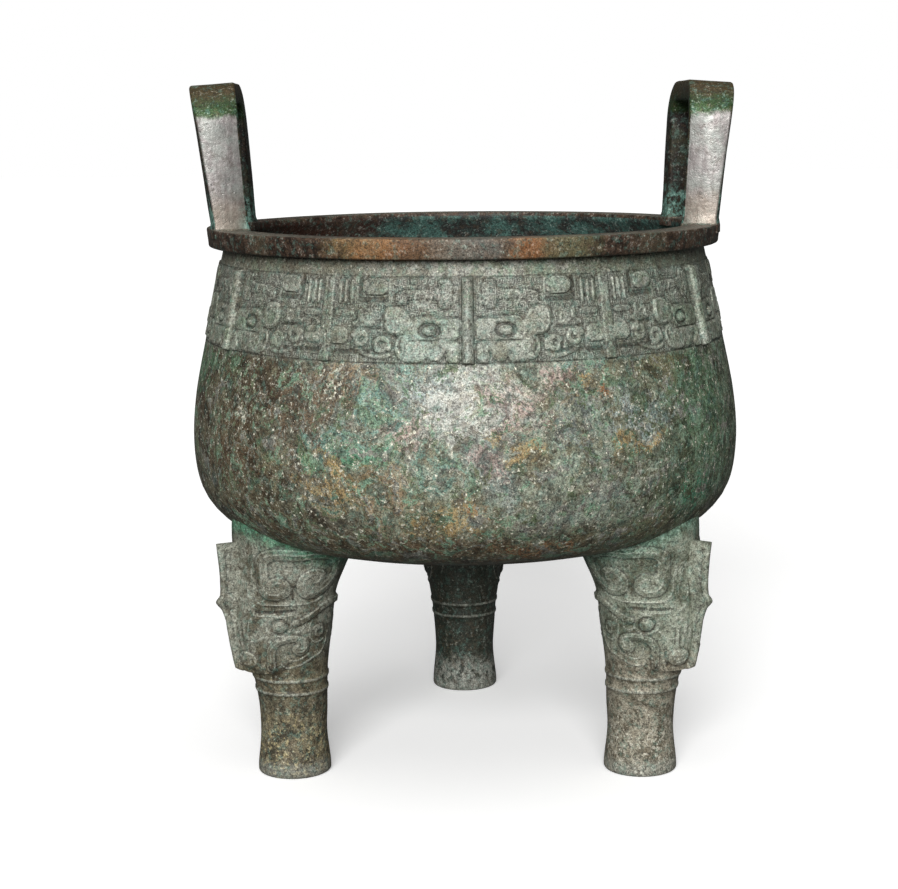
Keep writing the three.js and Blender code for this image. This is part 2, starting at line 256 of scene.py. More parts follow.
def neck_relief(across, up):
    """One side of a mask on the neck: arc from its flange, and height over the band's foot."""
    r = Relief(across, up)
    # cheek, brow and lip: broad plain forms round the eye
    r.shape([(6, 30), (79, 32), (86, 40), (78, 50), (72, 61), (62, 64), (6, 61)], 3.0)
    r.shape(
        [(6, 17), (29, 20), (34, 7), (41, 3), (49, 4), (52, 12), (55, 4), (62, 2.5), (82, 3),
         (92, 8), (97, 20), (95, 34), (86, 38), (76, 31), (6, 30)],
        4.4,
    )
    r.shape([(74, 47), (83, 40), (97, 37), (109, 42), (114, 53), (114, 66), (111, 75), (90, 75),
             (79, 67)], 4.8)
    r.plate(10 - np.hypot(across - 18.5, up - 10), 4.6)
    # horn, with scroll ground on it, and plain blocks
    r.shape([(20, 73), (39, 73), (39, 86), (82, 86), (82, 77), (98, 77), (98, 98), (39, 98),
             (39, 112), (20, 112)], 2.6, plain=0.0, soft=1)
    r.shape([(110, 91), (146, 91), (146, 113), (110, 113)], 4.2, soft=1)
    r.shape([(164, 25), (192, 25), (192, 48), (164, 48)], 4.2, soft=1)
    r.shape([(122, 49), (158, 49), (158, 56), (150, 56), (150, 72), (143, 72), (143, 56),
             (122, 56)], 2.8, plain=0.6, soft=1)
    r.shape([(156, 62), (186, 62), (186, 70), (156, 70)], 2.6, plain=0.5, soft=1)
    r.shape([(HALF_MASK - 8, -4), (HALF_MASK + 8, -4), (HALF_MASK + 8, 119),
             (HALF_MASK - 8, 119)], 4.4, plain=0.75, soft=0)
    for quill in (160, 169, 178):
        r.shape([(quill, 78), (quill + 5, 78), (quill + 6, 110), (quill + 1, 110)], 3.2, soft=1)
    # body and claw below the plume
    r.ribbon(spiral(116, 24, 12, 5, 1.1, 200, -1), 3.2, 3.4)
    r.ribbon(spiral(146, 33, 12, 5, 1.2, 20, 1), 3.2, 3.2)
    r.ribbon(flowing([(104, 12), (112, 9), (124, 9), (136, 12), (150, 18)], 4), 2.6, 2.8)
    # sunk channels
    r.cut([(12, 61.5), (40, 61), (64, 65)], 1.2, 2.0)
    r.cut([(22, 29.5), (76, 31)], 1.0, 1.8)
    r.cut([(110, 84), (150, 84), (150, 110)], 3.2, 1.6)
    r.cut([(127, 24), (127, 15), (190, 15), (193, 20)], 2.6, 1.6)
    r.cut([(118, 45.5), (160, 45.5)], 1.2, 1.2)
    r.cut([(161, 14), (161, 48)], 1.1, 1.2)
    r.cut([(89, 32), (91, 24), (88, 16)], 1.2, 1.8)
    r.cut([(10.2, 0), (10.2, 116)], 1.0, 1.6)
    # curls
    r.line(spiral(62, 88, 14, 4, 1.35, 175, 1), 1.1, 1.4)
    r.line(spiral(24, 84, 9.5, 3, 1.2, 10, 1), 1.0, 1.2)
    r.line(spiral(24, 103, 7, 2.5, 1.1, 190, 1), 0.9, 1.0)
    r.line(spiral(133, 60, 8.5, 2.5, 1.4, 0, -1), 1.0, 1.1)
    r.line(spiral(76, 19, 8, 3, 1.1, 30, 1), 0.9, 0.8)
    r.line(flowing([(92, 42.5), (103, 43), (108.5, 51), (109.5, 63), (107, 72)], 4), 1.3, 1.4)
    r.line(ring_path(18.5, 10, 6.6, 6.6), 0.8, 0.7)
    r.line([(108, 76), (108, 112)], 1.0, 1.4)
    # eye: a deep almond ring round a flat boss with a slit
    eye = np.hypot((across - 51) / 15.0, (up - 44.5) / 10.5)
    ring = smooth(eye, 1.12, 0.98) * smooth(eye, 0.5, 0.66)
    r.height -= 3.6 * ring
    r.height += 1.6 * (1 - smooth(eye, 0.45, 0.66))
    r.groove = np.minimum(r.groove, (np.abs(eye - 0.82) - 0.17) * 12 + 1)
    r.line([(45, 44), (57, 45)], 1.2, 0.6)
    # flange: a plain rounded bar
    bar = np.sqrt(np.clip(1 - (across / 7.9) ** 2, 0, 1))
    ends = smooth(up, -0.5, 1.5) * (1 - smooth(up, BAND_HEIGHT - 1.5, BAND_HEIGHT + 0.5))
    r.height = np.maximum(r.height, 11 * bar ** 0.7 * ends)
    r.edge = np.maximum(r.edge, np.where(ends > 0.3, 7.6 - across, -FAR))
    r.ground = np.minimum(r.ground, smooth(across, 8, 10))
    border = smooth(up, 0, 1.5) * (1 - smooth(up, BAND_HEIGHT - 1.5, BAND_HEIGHT))
    r.height = np.where(across > 8.2, r.height * border, r.height)
    r.groove = np.minimum(r.groove, np.abs(up - 0.4) + 0.3)
    r.groove = np.minimum(r.groove, np.abs(up - BAND_HEIGHT) + 0.5)
    r.ground = r.ground * smooth(up, 0.5, 3) * (1 - smooth(up, BAND_HEIGHT - 3, BAND_HEIGHT - 0.5))
    return r


def leg_relief(across, up):
    """One side of a mask on a leg: arc from its flange, and height."""
    r = Relief(across, up)
    r.ground = np.zeros(across.shape)
    horn = flowing([
        (60, 303), (66, 306), (72, 301), (72, 292), (62, 287), (51, 290), (46, 302), (45, 322),
        (48, 339), (60, 347), (76, 348), (92, 346), (110, 348), (126, 345), (138, 334),
        (141, 316), (134, 300), (119, 289), (103, 288), (96, 296), (98, 308), (107, 315),
        (116, 313), (117, 305), (110, 302)], 4)
    r.ribbon(horn, 8.2, 3.4)
    r.cut([(83, 280), (83, 300)], 1.6, 1.6)
    r.line(horn, 1.0, 1.3)
    r.line(spiral(101, 334, 8, 3, 1.0, 170, -1), 0.9, 1.0)
    # brow, with two dark slots under it, and the horn's tip that stands out to the side
    tip = flowing([(86, 243), (106, 251), (126, 262), (150, 266), (174, 265), (184, 262)], 3)
    r.ribbon(tip, 5.2, 4.2)
    r.line(flowing([(88, 247), (108, 256), (128, 268), (152, 272), (176, 270)], 3), 1.0, 1.1)
    r.line(flowing([(37, 279), (40, 272.5), (60, 271), (92, 271), (112, 273), (128, 279)], 3),
           1.2, 1.6)
    r.line([(34, 262), (34, 254), (62, 254), (92, 256)], 0.9, 1.0)
    r.cut([(37, 260), (60, 260)], 2.0, 1.6)
    r.cut([(66, 261), (86, 262)], 2.0, 1.4)
    # eye
    eye = np.hypot(across - 64, up - 237)
    r.line(ring_path(64, 237, 16.5, 15), 1.1, 1.6)
    r.height -= 1.6 * smooth(eye, 14, 12) * smooth(eye, 8.5, 10)
    r.groove = np.minimum(r.groove, np.abs(eye - 11.3) - 0.4)
    r.dome(64, 237, 10, 9.5, 5.5)
    r.line(flowing([(46, 226), (38, 217), (30, 214), (24, 219)], 4), 1.0, 1.2)
    r.line(flowing([(80, 232), (90, 228), (98, 233), (97, 243)], 4), 1.0, 1.0)
    # nostril
    r.plate(13 - np.hypot(across - 21, up - 186), 3.4)
    r.line(spiral(21, 186, 11, 2.5, 1.6, 60, 1), 1.1, 1.3)
    # mouth with its curled corner
    mouth = flowing([
        (50, 172), (51, 188), (52, 202), (60, 213), (74, 218), (90, 218), (101, 211),
        (101, 201), (92, 197), (86, 203), (91, 208)], 4)
    r.ribbon(mouth, 5.4, 3.0)
    r.line(mouth, 0.9, 1.1)
    r.line(flowing([(64, 180), (70, 174), (84, 174), (100, 179), (116, 186), (130, 190),
                    (142, 204), (146, 222)], 4), 1.2, 1.5)
    r.line(flowing([(68, 202), (70, 192), (78, 184), (94, 186), (110, 194)], 4), 0.9, 1.0)
    # ear leaf and the small scrolls behind the eye
    r.ribbon(spiral(124, 226, 11, 4, 1.25, 160, -1), 2.4, 2.6)
    r.line(flowing([(112, 244), (107, 232), (110, 216), (122, 208), (138, 212)], 4), 1.0, 1.2)
    r.line(spiral(152, 240, 8, 3, 1.1, 200, 1), 0.9, 1.0)
    r.line(flowing([(150, 256), (164, 250), (174, 240), (176, 222), (170, 205)], 4), 0.9, 0.9)
    # hair beside the flange, the hook over it and its leaf
    for strand, top in ((8, 236), (13.5, 246), (19, 252), (25, 250)):
        hair = [(strand - 1, 204), (strand, 222), (strand + 2, top - 6), (strand + 6, top)]
        r.line(flowing(hair, 3), 0.9, 1.2)
        r.cut([(strand + 2.6, 206), (strand + 3.2, 232)], 0.5, 1.0)
    for reach in (14, 19, 24):
        angles = np.radians(np.linspace(95, 12, 7))
        r.line(np.stack([5 + reach * np.cos(angles), 306 + reach * np.sin(angles)], 1), 1.0, 1.3)
    r.line(ring_path(16, 288, 8, 15, 14), 1.0, 1.2)
    r.line([(10, 268), (22, 256), (34, 270)], 0.9, 1.1)
    r.line([(28, 330), (31, 300), (34, 276)], 0.9, 0.8)
    r.cut([(49, 168), (48, 176)], 1.6, 1.4)
    r.cut([(34, 172), (37, 196)], 1.4, 1.2)
    inside = smooth(up, 162, 166) * (1 - smooth(up, 357, 362)) * (1 - smooth(across, 182, 190))
    r.height = r.height * inside
    r.edge = np.where(inside > 0.3, r.edge, -FAR)
    r.thread = np.where(inside > 0.3, r.thread, FAR)
    r.groove = np.where(inside > 0.3, r.groove, FAR)
    return r


# ---------------------------------------------------------------- the casting's mesh


class Casting:
    """Gathers grids of points into one mesh, with what the patina needs to know at each point."""

    MARKS = {
        "edge": -FAR,  # depth inside the nearest raised form
        "groove": FAR,  # distances to the nearest cut and raised line
        "thread": FAR,
        "ground": 0.0,  # 1 where the scroll ground shows
        "inner": 0.0,  # 1 inside the bowl
        "leg": 0.0,  # 1 on the legs
        "joint": FAR,  # height left up to the bowl
    }

    def __init__(self):
        self.points = []
        self.charts = []
        self.marks = {name: [] for name in self.MARKS}
        self.quads = []
        self.triangles = []
        self.count = 0

    def grid(self, points, chart=None, **marks):
        """points is rows by columns by 3, in millimetres. Gives the points' numbers."""
        rows, columns = points.shape[:2]
        flat = points.reshape(-1, 3)
        self.points.append(flat)
        if chart is None:
            chart = np.zeros(points.shape)
        self.charts.append(chart.reshape(-1, 3))
        for name, usual in self.MARKS.items():
            values = np.broadcast_to(marks.get(name, usual), (rows, columns))
            self.marks[name].append(np.array(values, float).reshape(-1))
        numbers = self.count + np.arange(rows * columns).reshape(rows, columns)
        self.count += rows * columns
        return numbers

    def skin(self, numbers):
        """Faces between closed rings, given as rows of point numbers."""
        after = np.roll(numbers, -1, 1)
        quads = np.stack([numbers[:-1], after[:-1], after[1:], numbers[1:]], -1)
        self.quads.append(quads.reshape(-1, 4))

    def stitch(self, lower, upper):
        """Joins two closed rings of which one has a whole number of times the other's points."""
        fine_above = len(upper) > len(lower)
        coarse, fine = (lower, upper) if fine_above else (upper, lower)
        ratio = len(fine) // len(coarse)
        found = []
        for side, corner in enumerate(coarse):
            after = coarse[(side + 1) % len(coarse)]
            for step in range(ratio):
                here = fine[side * ratio + step]
                there = fine[(side * ratio + step + 1) % len(fine)]
                owner = corner if step < ratio // 2 else after
                found.append((owner, there, here))
            middle = fine[side * ratio + ratio // 2]
            found.append((corner, after, middle))
        found = np.array(found)
        self.triangles.append(found if fine_above else found[:, ::-1])

    def fan(self, ring, point, **marks):
        """Closes a ring over a new point. A ring that is closed from below is given reversed."""
        centre = self.grid(np.reshape(point, (1, 1, 3)), **marks)[0, 0]
        self.triangles.append(np.stack([np.full(len(ring), centre), ring, np.roll(ring, -1)], 1))

    def build(self, name):
        points = np.concatenate(self.points) * MM
        quads = np.concatenate(self.quads)
        triangles = np.concatenate(self.triangles)
        mesh = bpy.data.meshes.new(name)
        mesh.vertices.add(len(points))
        mesh.vertices.foreach_set("co", points.astype(np.float32).ravel())
        corners = np.concatenate([quads.ravel(), triangles.ravel()]).astype(np.int32)
        mesh.loops.add(len(corners))
        mesh.loops.foreach_set("vertex_index", corners)
        mesh.polygons.add(len(quads) + len(triangles))
        starts = np.concatenate([
            np.arange(len(quads)) * 4,
            len(quads) * 4 + np.arange(len(triangles)) * 3,
        ]).astype(np.int32)
        mesh.polygons.foreach_set("loop_start", starts)
        for mark in self.MARKS:
            layer = mesh.attributes.new(mark, "FLOAT", "POINT")
            layer.data.foreach_set("value", np.concatenate(self.marks[mark]).astype(np.float32))
        layer = mesh.attributes.new("chart", "FLOAT_VECTOR", "POINT")
        layer.data.foreach_set("vector", np.concatenate(self.charts).astype(np.float32).ravel())
        mesh.update(calc_edges=True)
        mesh.validate()
        mesh.shade_smooth()
        mesh.set_sharp_from_angle(angle=SHARP_ANGLE)
        thing = bpy.data.objects.new(name, mesh)
        bpy.context.scene.collection.objects.link(thing)
        return thing


casting = Casting()


def lathe(radius, angle, z):
    radius, angle, z = np.broadcast_arrays(radius, angle, z)
    return np.stack([radius * np.cos(angle), radius * np.sin(angle), z], -1)


def circle_of(columns):
    return np.arange(columns) / columns * FULL_TURN


# ---------------------------------------------------------------- bowl and rim

BOWL_COLUMNS = 120
BAND_COLUMNS = 960
BAND_ROWS = 46
BAND_MARGIN = 2.5  # the carved rows go this far past the band, above and below
BOWL_SWAY = 0.9  # unevenness of the hand-made wall
BOWL_SEED = 3
belly = curve(BELLY_LINE, np.linspace(0, 1, 480))
side_heights = np.concatenate([belly[:, 1], [BAND_TOP, NECK_TOP]])
side_radii = np.concatenate([belly[:, 0], [BAND_TOP_RADIUS, NECK_TOP_RADIUS]])


def bowl_radius(z):
    return np.interp(z, side_heights, side_radii)


def bowl_underside(radius):
    """Height of the bowl's outside at a radius, under its widest part."""
    low = belly[: int(np.argmax(belly[:, 0]))]
    return np.interp(radius, low[:, 0], low[:, 1])


def uneven(points, amount, seed):
    """Moves points a little in and out, as hand work and time leave a surface."""
    radius = np.hypot(points[..., 0], points[..., 1])
    wave = waver(points, 170, seed) * smooth(radius, 60, 200)
    scale = 1 + amount * wave / np.maximum(radius, 1)
    return points * np.stack([scale, scale, np.ones_like(scale)], -1)


def rounded(corner, before, after, cut):
    """A corner between two other points as three points, cut off at that distance from it."""
    corner, before, after = map(np.asarray, (corner, before, after))
    one_way = (before - corner) / np.linalg.norm(before - corner)
    other_way = (after - corner) / np.linalg.norm(after - corner)
    return [corner + one_way * cut, corner + (one_way + other_way) * cut * 0.3,
            corner + other_way * cut]


def build_bowl():
    turn = circle_of(BOWL_COLUMNS)
    # underside and belly, up to just under the band
    foot_of_band = BAND_BOTTOM - BAND_MARGIN
    shares = np.concatenate([np.linspace(0.06, 0.6, 12)[:-1], np.linspace(0.6, 1, 20)])
    profile = curve(BELLY_LINE, shares)
    profile = profile[profile[:, 1] < foot_of_band - 6]
    profile = np.concatenate([profile, [[bowl_radius(foot_of_band - 4), foot_of_band - 4]]])
    rings = lathe(profile[:, :1], turn[None], profile[:, 1:])
    rings = uneven(rings, BOWL_SWAY, BOWL_SEED)
    lower = casting.grid(rings)
    casting.skin(lower)
    casting.fan(lower[0][::-1], (0, 0, BELLY_LINE[0][1]))
    # the band of masks
    rows = np.concatenate([
        [-BAND_MARGIN, -0.8],
        np.linspace(0.6, BAND_HEIGHT - 0.6, BAND_ROWS),
        [BAND_HEIGHT + 0.8, BAND_HEIGHT + BAND_MARGIN],
    ])
    per_side = BAND_COLUMNS // (2 * MASKS)
    near = np.array([0, 2.6, 4.8, 6.6, 7.7, 8.6])
    rest = np.linspace(near[-1], HALF_MASK, per_side - len(near) + 2)[1:]
    half = np.concatenate([near, rest])
    one = np.concatenate([-half[:0:-1], half[:-1]])
    across = (one[None] + 2 * HALF_MASK * np.arange(MASKS)[:, None]).ravel()
    angle = across / BAND_MEAN_RADIUS + FRONT
    start = int(np.argmin(np.abs(((angle + math.pi) % FULL_TURN) - math.pi)))
    angle = np.roll(angle, -start)
    across = np.roll(across, -start)
    u = np.abs((across + HALF_MASK) % (2 * HALF_MASK) - HALF_MASK)
    which = np.round(across / (2 * HALF_MASK)) % MASKS
    v, uu = np.meshgrid(rows, u, indexing="ij")
    place = np.broadcast_to(across[None], v.shape)
    z = BAND_BOTTOM + v
    base = lathe(bowl_radius(z), angle[None], z)
    steady = smooth(uu, 9, 24)
    carved = neck_relief(
        uu + 0.9 * steady * waver(base, 70, 11),
        v + 0.9 * steady * waver(base, 60, 12),
    )
    # some stretches are rubbed lower than others
    worn = 0.86 + 0.14 * waver(base, 300, 13)
    height = np.where(uu > 9, carved.height * worn, carved.height)
    points = lathe(bowl_radius(z) + height, angle[None], z)
    points = points + (uneven(base, BOWL_SWAY, BOWL_SEED) - base)
    chart = np.stack([place, v, np.broadcast_to(which[None], v.shape)], -1)
    band = casting.grid(points, chart, edge=carved.edge, groove=carved.groove,
                        thread=carved.thread, ground=carved.ground)
    casting.skin(band)
    casting.stitch(lower[-1], band[0])
    # plain neck, rim and inside
    under = (RIM_LOWER_RADIUS, NECK_TOP + 1)
    face_top = (RIM_RADIUS, RIM_TOP)
    mouth_top = (MOUTH_RADIUS, RIM_TOP)
    mouth_low = (MOUTH_RADIUS, RIM_TOP - LIP_THICKNESS)
    inner_neck = (NECK_TOP_RADIUS - WALL, RIM_TOP - LIP_THICKNESS - LIP_SLOPE)
    neck = (bowl_radius(NECK_MIDDLE), NECK_MIDDLE)
    profile = [(bowl_radius(BAND_TOP + 4.5), BAND_TOP + 4.5), neck]
    profile += rounded((NECK_TOP_RADIUS, NECK_TOP), neck, under, 3)
    profile += rounded(under, (NECK_TOP_RADIUS, NECK_TOP), face_top, 2.4)
    profile += [((under[0] * 2 + face_top[0]) / 3, under[1] + 10), (face_top[0] - 1, RIM_TOP - 10)]
    profile += rounded(face_top, under, mouth_top, 2.4)
    profile += [(370, RIM_TOP + 0.3), (354, RIM_TOP)]
    profile += rounded(mouth_top, face_top, mouth_low, 2.6)
    profile += rounded(mouth_low, mouth_top, inner_neck, 2.6)
    profile += [inner_neck]
    outer = np.array(profile, float)
    inner_shares = np.linspace(1, 0.12, 20)
    inside = curve(BELLY_LINE, inner_shares)
    ahead = curve(BELLY_LINE, inner_shares - 0.01)
    run = inside - ahead
    run = run / np.linalg.norm(run, axis=1)[:, None]
    inside = inside + np.stack([-run[:, 1], run[:, 0]], 1) * WALL
    neck_in = [(bowl_radius(z) - WALL, z) for z in NECK_INSIDE]
    full = np.concatenate([outer, neck_in, inside])
    rings = lathe(full[:, :1], turn[None], full[:, 1:])
    rings = uneven(rings, BOWL_SWAY, BOWL_SEED)
    rim_share = smooth(full[:, 1], 772, 800)[:, None]
    rings[..., 2] += rim_share * (0.8 * waver(rings * np.array([1, 1, 0]), 420, 21) - 0.4)
    within = np.zeros(full.shape[0])
    within[len(outer) - 4:] = 1.0
    upper = casting.grid(rings, inner=within[:, None])
    casting.skin(upper)
    casting.stitch(band[-1], upper[0])
    casting.fan(upper[-1], (0, 0, BELLY_LINE[0][1] + WALL), inner=1.0)


build_bowl()

# ---------------------------------------------------------------- handles


def rounded_section(corners, cut):
    """A closed section with its corners rounded; corners is rows of 4 points by 3."""
    section = []
    for index in range(4):
        corner = corners[:, index]
        before = corners[:, index - 1] - corner
        after = corners[:, (index + 1) % 4] - corner
        before_way = before / np.linalg.norm(before, axis=1)[:, None]
        after_way = after / np.linalg.norm(after, axis=1)[:, None]
        section.append(corner + before_way * cut)
        section.append(corner + (before_way + after_way) * cut * 0.3)
        section.append(corner + after_way * cut)
        section.append(corner + after * 0.5)
    return np.stack(section, 1)


def build_handle(inward, drop, rotation, seed):
    side = (HANDLE_WIDTH - HANDLE_STRAP) / 2
    top = OVERALL_HEIGHT - RIM_TOP - HANDLE_STRAP / 2 - HANDLE_CROWN
    shoulder = top - HANDLE_CORNER
    half = HANDLE_STRAP / 2
    stations = [(-side, h, math.pi) for h in np.linspace(-HANDLE_SUNK, shoulder - 8, 16)]
    for turn in np.linspace(math.pi, math.pi / 2, 12):
        stations.append((-side + HANDLE_CORNER * (1 + math.cos(turn)),
                         shoulder + HANDLE_CORNER * math.sin(turn), turn))
    flat = np.linspace(-side + HANDLE_CORNER, 0, 6)[1:]
    stations += [(offset, top, math.pi / 2) for offset in flat]
    stations += [(-o, h, math.pi - t) for o, h, t in stations[-2::-1]]
    offset, height, turn = np.array(stations).T

    def place(share, way):
        sideways = offset + way * half * np.cos(turn)
        up = height + way * half * np.sin(turn)
        rise = np.clip(up / (OVERALL_HEIGHT - RIM_TOP), 0, 1)
        inner = HANDLE_BASE[0] + (HANDLE_TOP[0] - inward - HANDLE_BASE[0]) * rise
        outer = HANDLE_BASE[1] + (HANDLE_TOP[1] - inward - HANDLE_BASE[1]) * rise
        radius = inner + (outer - inner) * share
        slope = (radius - inner) * math.tan(HANDLE_LEAN)
        z = RIM_TOP + up + (HANDLE_CROWN - slope - drop) * rise
        bent = lathe(radius, sideways / HANDLE_BASE[0], z)
        straight = np.stack([radius, sideways, z], -1)
        share_bent = (1 + (HANDLE_TOP_CURVE - 1) * rise)[:, None]
        return straight + (bent - straight) * share_bent

    corners = np.stack([place(0, -1), place(1, -1), place(1, 1), place(0, 1)], 1)
    section = rounded_section(corners, HANDLE_EDGE)[::-1]
    # hand-dressed faces: a little hollow here, a little full there
    centre = section.mean(1, keepdims=True)
    swell = waver(section, 80, seed)
    away = section - centre
    away = away / np.maximum(np.linalg.norm(away, axis=2, keepdims=True), 1)
    section = section + away * (0.7 * swell - 0.5)[..., None]
    # a fillet where each foot of the strap meets the rim
    above = section[..., 2] - RIM_TOP
    flare = 3.0 * (1 - smooth(above, 0, 9))
    section = section + away * flare[..., None] * np.array([1, 1, 0])
    turned = section @ np.array(Matrix.Rotation(rotation, 3, "Z")).T
    numbers = casting.grid(turned)
    casting.skin(numbers)
    casting.fan(numbers[0][::-1], turned[0].mean(0))
    casting.fan(numbers[-1], turned[-1].mean(0))


build_handle(RIGHT_HANDLE_INWARD, RIGHT_HANDLE_DROP, HANDLE_TURN, 31)
build_handle(0, 0, HANDLE_TURN + math.pi, 32)

# ---------------------------------------------------------------- legs

LEG_COLUMNS = 135  # on the mask; the shaft has a third of them
MASK_ROWS = 48
ROOT_ROWS = 27  # from the level rows up to the bowl
MASK_BOTTOM = 159.0
LEVEL_TOP = 290.0  # rows are level up to here, and then follow the bowl
ROOT_REACH = 398  # the root stays this near the bowl's axis
FILLET = 6.0  # where the leg meets the bowl, on the inner side
FILLET_HEIGHT = 15
FILLET_FADE = (330, 375)  # distances from the bowl's axis
SHAFT_ROWS = [1.2, 3.5, 8, 14, 24, 36, 48, 60, 72, 84, 96, 108, 118]  # up to the cords
FLANGE_ROOT = 60.0  # the flange starts this far from the leg's axis
FLANGE_LINE = np.array([  # height, and distance from the leg's axis
    (163, 80), (167, 90), (178, 93), (206, 98), (225, 100.5), (240, 103), (250, 106),
    (258, 109), (265, 115), (269, 118), (273, 116), (278, 111), (290, 110), (305, 110),
    (320, 111), (332, 112), (345, 113.5), (356, 115)], float)
FLANGE_BARS = [
    (338, 346), (318, 322), (298, 305), (281, 284), (256, 262), (236, 240), (214, 219), (190, 196),
]
leg_line = curve(LEG_AXIS_LINE, np.linspace(0, 1, 400))


def leg_surface(turn, z):
    """Distance from a leg's axis to its bare surface; turn is from the leg's outward side."""
    aside = np.arccos(np.clip(np.cos(turn), -1, 1))
    lean = LEG_LEAN_OUT - (LEG_LEAN_OUT + LEG_LEAN_IN) * smooth(z, 270, 350)
    shift = lean * smooth(z, 90, 200)
    snout = 17 * (1 - smooth(z, 215, 315)) * smooth(z, 161.5, 163.5)
    share = 1 - smooth(aside, 0.1, 0.95)
    return np.interp(z, leg_line[:, 0], leg_line[:, 1]) + shift * np.cos(turn) + snout * share


def wall_middle(radius):
    """Height of the middle of the bowl's wall over a leg."""
    return bowl_underside(radius + 1.5) + 3.0


def to_leg(points, azimuth):
    moved = points + np.array([LEG_CIRCLE, 0, 0])
    return moved @ np.array(Matrix.Rotation(azimuth, 3, "Z")).T


def build_leg(azimuth, seed):
    turn = (circle_of(LEG_COLUMNS) + math.pi) % FULL_TURN - math.pi
    turn = np.sort(turn)
    # height at which each side of the leg goes into the bowl
    contact = np.full(LEG_COLUMNS, 350.0)
    for _ in range(12):
        reach = leg_surface(turn, contact)
        from_axis = np.hypot(LEG_CIRCLE + reach * np.cos(turn), reach * np.sin(turn))
        contact = wall_middle(np.minimum(from_axis, ROOT_REACH))
    low_rows = np.linspace(MASK_BOTTOM, LEVEL_TOP, MASK_ROWS)
    high_rows = np.linspace(0, 1, ROOT_ROWS + 1)[1:]
    z = np.concatenate([
        np.broadcast_to(low_rows[:, None], (MASK_ROWS, LEG_COLUMNS)),
        LEVEL_TOP + high_rows[:, None] * (contact[None] - LEVEL_TOP),
    ])
    tt = np.broadcast_to(turn[None], z.shape)
    arc = np.abs(tt - LEG_MASK_TWIST) * LEG_MEAN_RADIUS
    arc = np.minimum(arc, FULL_TURN * LEG_MEAN_RADIUS - arc)
    bare = lathe(leg_surface(tt, z), tt, z)
    steady = smooth(arc, 8, 30)
    carved = leg_relief(
        arc + 1.1 * steady * waver(bare, 60, seed),
        z + 1.1 * steady * waver(bare, 70, seed + 1),
    )
    radius = leg_surface(tt, z) + carved.height
    from_bowl = 1 - smooth(contact[None] - z, 0, FILLET_HEIGHT)
    fillet = FILLET * from_bowl ** 2 * (1 - smooth(from_axis, *FILLET_FADE))[None]
    radius = radius + fillet + 0.5 * waver(bare, 90, seed + 2)
    chart = np.stack([tt * LEG_MEAN_RADIUS, z, np.full(z.shape, float(seed))], -1)
    upper = casting.grid(to_leg(lathe(radius, tt, z), azimuth), chart, edge=carved.edge,
                         groove=carved.groove, thread=carved.thread, ground=carved.ground,
                         leg=1.0, joint=contact[None] - z)
    casting.skin(upper)
    # inside the wall: a cap that follows the bowl
    rim_radius = radius[-1]
    for_cap = []
    for share in (0.7, 0.35):
        reach = rim_radius * share
        x = LEG_CIRCLE + reach * np.cos(turn)
        y = reach * np.sin(turn)
        for_cap.append(np.stack([x - LEG_CIRCLE, y, wall_middle(np.hypot(x, y))], -1))
    cap = casting.grid(to_leg(np.stack(for_cap), azimuth), leg=1.0)
    casting.skin(np.concatenate([upper[-1:], cap]))
    casting.fan(cap[-1], to_leg(np.array([0, 0, wall_middle(LEG_CIRCLE)]), azimuth))
    # shaft and foot
    turn_low = turn[::3]
    low_cord, high_cord = CORDS
    levels = np.concatenate([SHAFT_ROWS, np.linspace(low_cord - 4.5, high_cord + 4.5, 19)])
    z, tt = np.meshgrid(levels, turn_low, indexing="ij")
    radius = leg_surface(tt, z)
    cord_distance = np.minimum(np.abs(z - low_cord), np.abs(z - high_cord))
    cord = np.sqrt(np.clip(1 - (cord_distance / CORD_HALF) ** 2, 0, 1))
    radius = radius + CORD_RISE * cord
    radius = radius - 1.6 * (1 - smooth(z, 0, 4)) + 0.7 * waver(lathe(radius, tt, z), 80, seed + 4)
    chart = np.stack([tt * LEG_MEAN_RADIUS, z, np.full(z.shape, float(seed))], -1)
    lower = casting.grid(to_leg(lathe(radius, tt, z), azimuth), chart, leg=1.0,
                         thread=np.where(cord_distance < 9, cord_distance - 0.8, FAR))
    casting.skin(lower)
    casting.stitch(lower[-1], upper[0])
    sole_radius = radius[0] - 2.2
    sole_ring = lathe(sole_radius, turn_low, 0.0)[None]
    sole = casting.grid(to_leg(sole_ring, azimuth), leg=1.0)
    casting.skin(np.concatenate([sole, lower[:1]]))
    casting.fan(sole[0][::-1], to_leg(np.zeros(3), azimuth), leg=1.0)
    build_leg_flange(azimuth, seed)


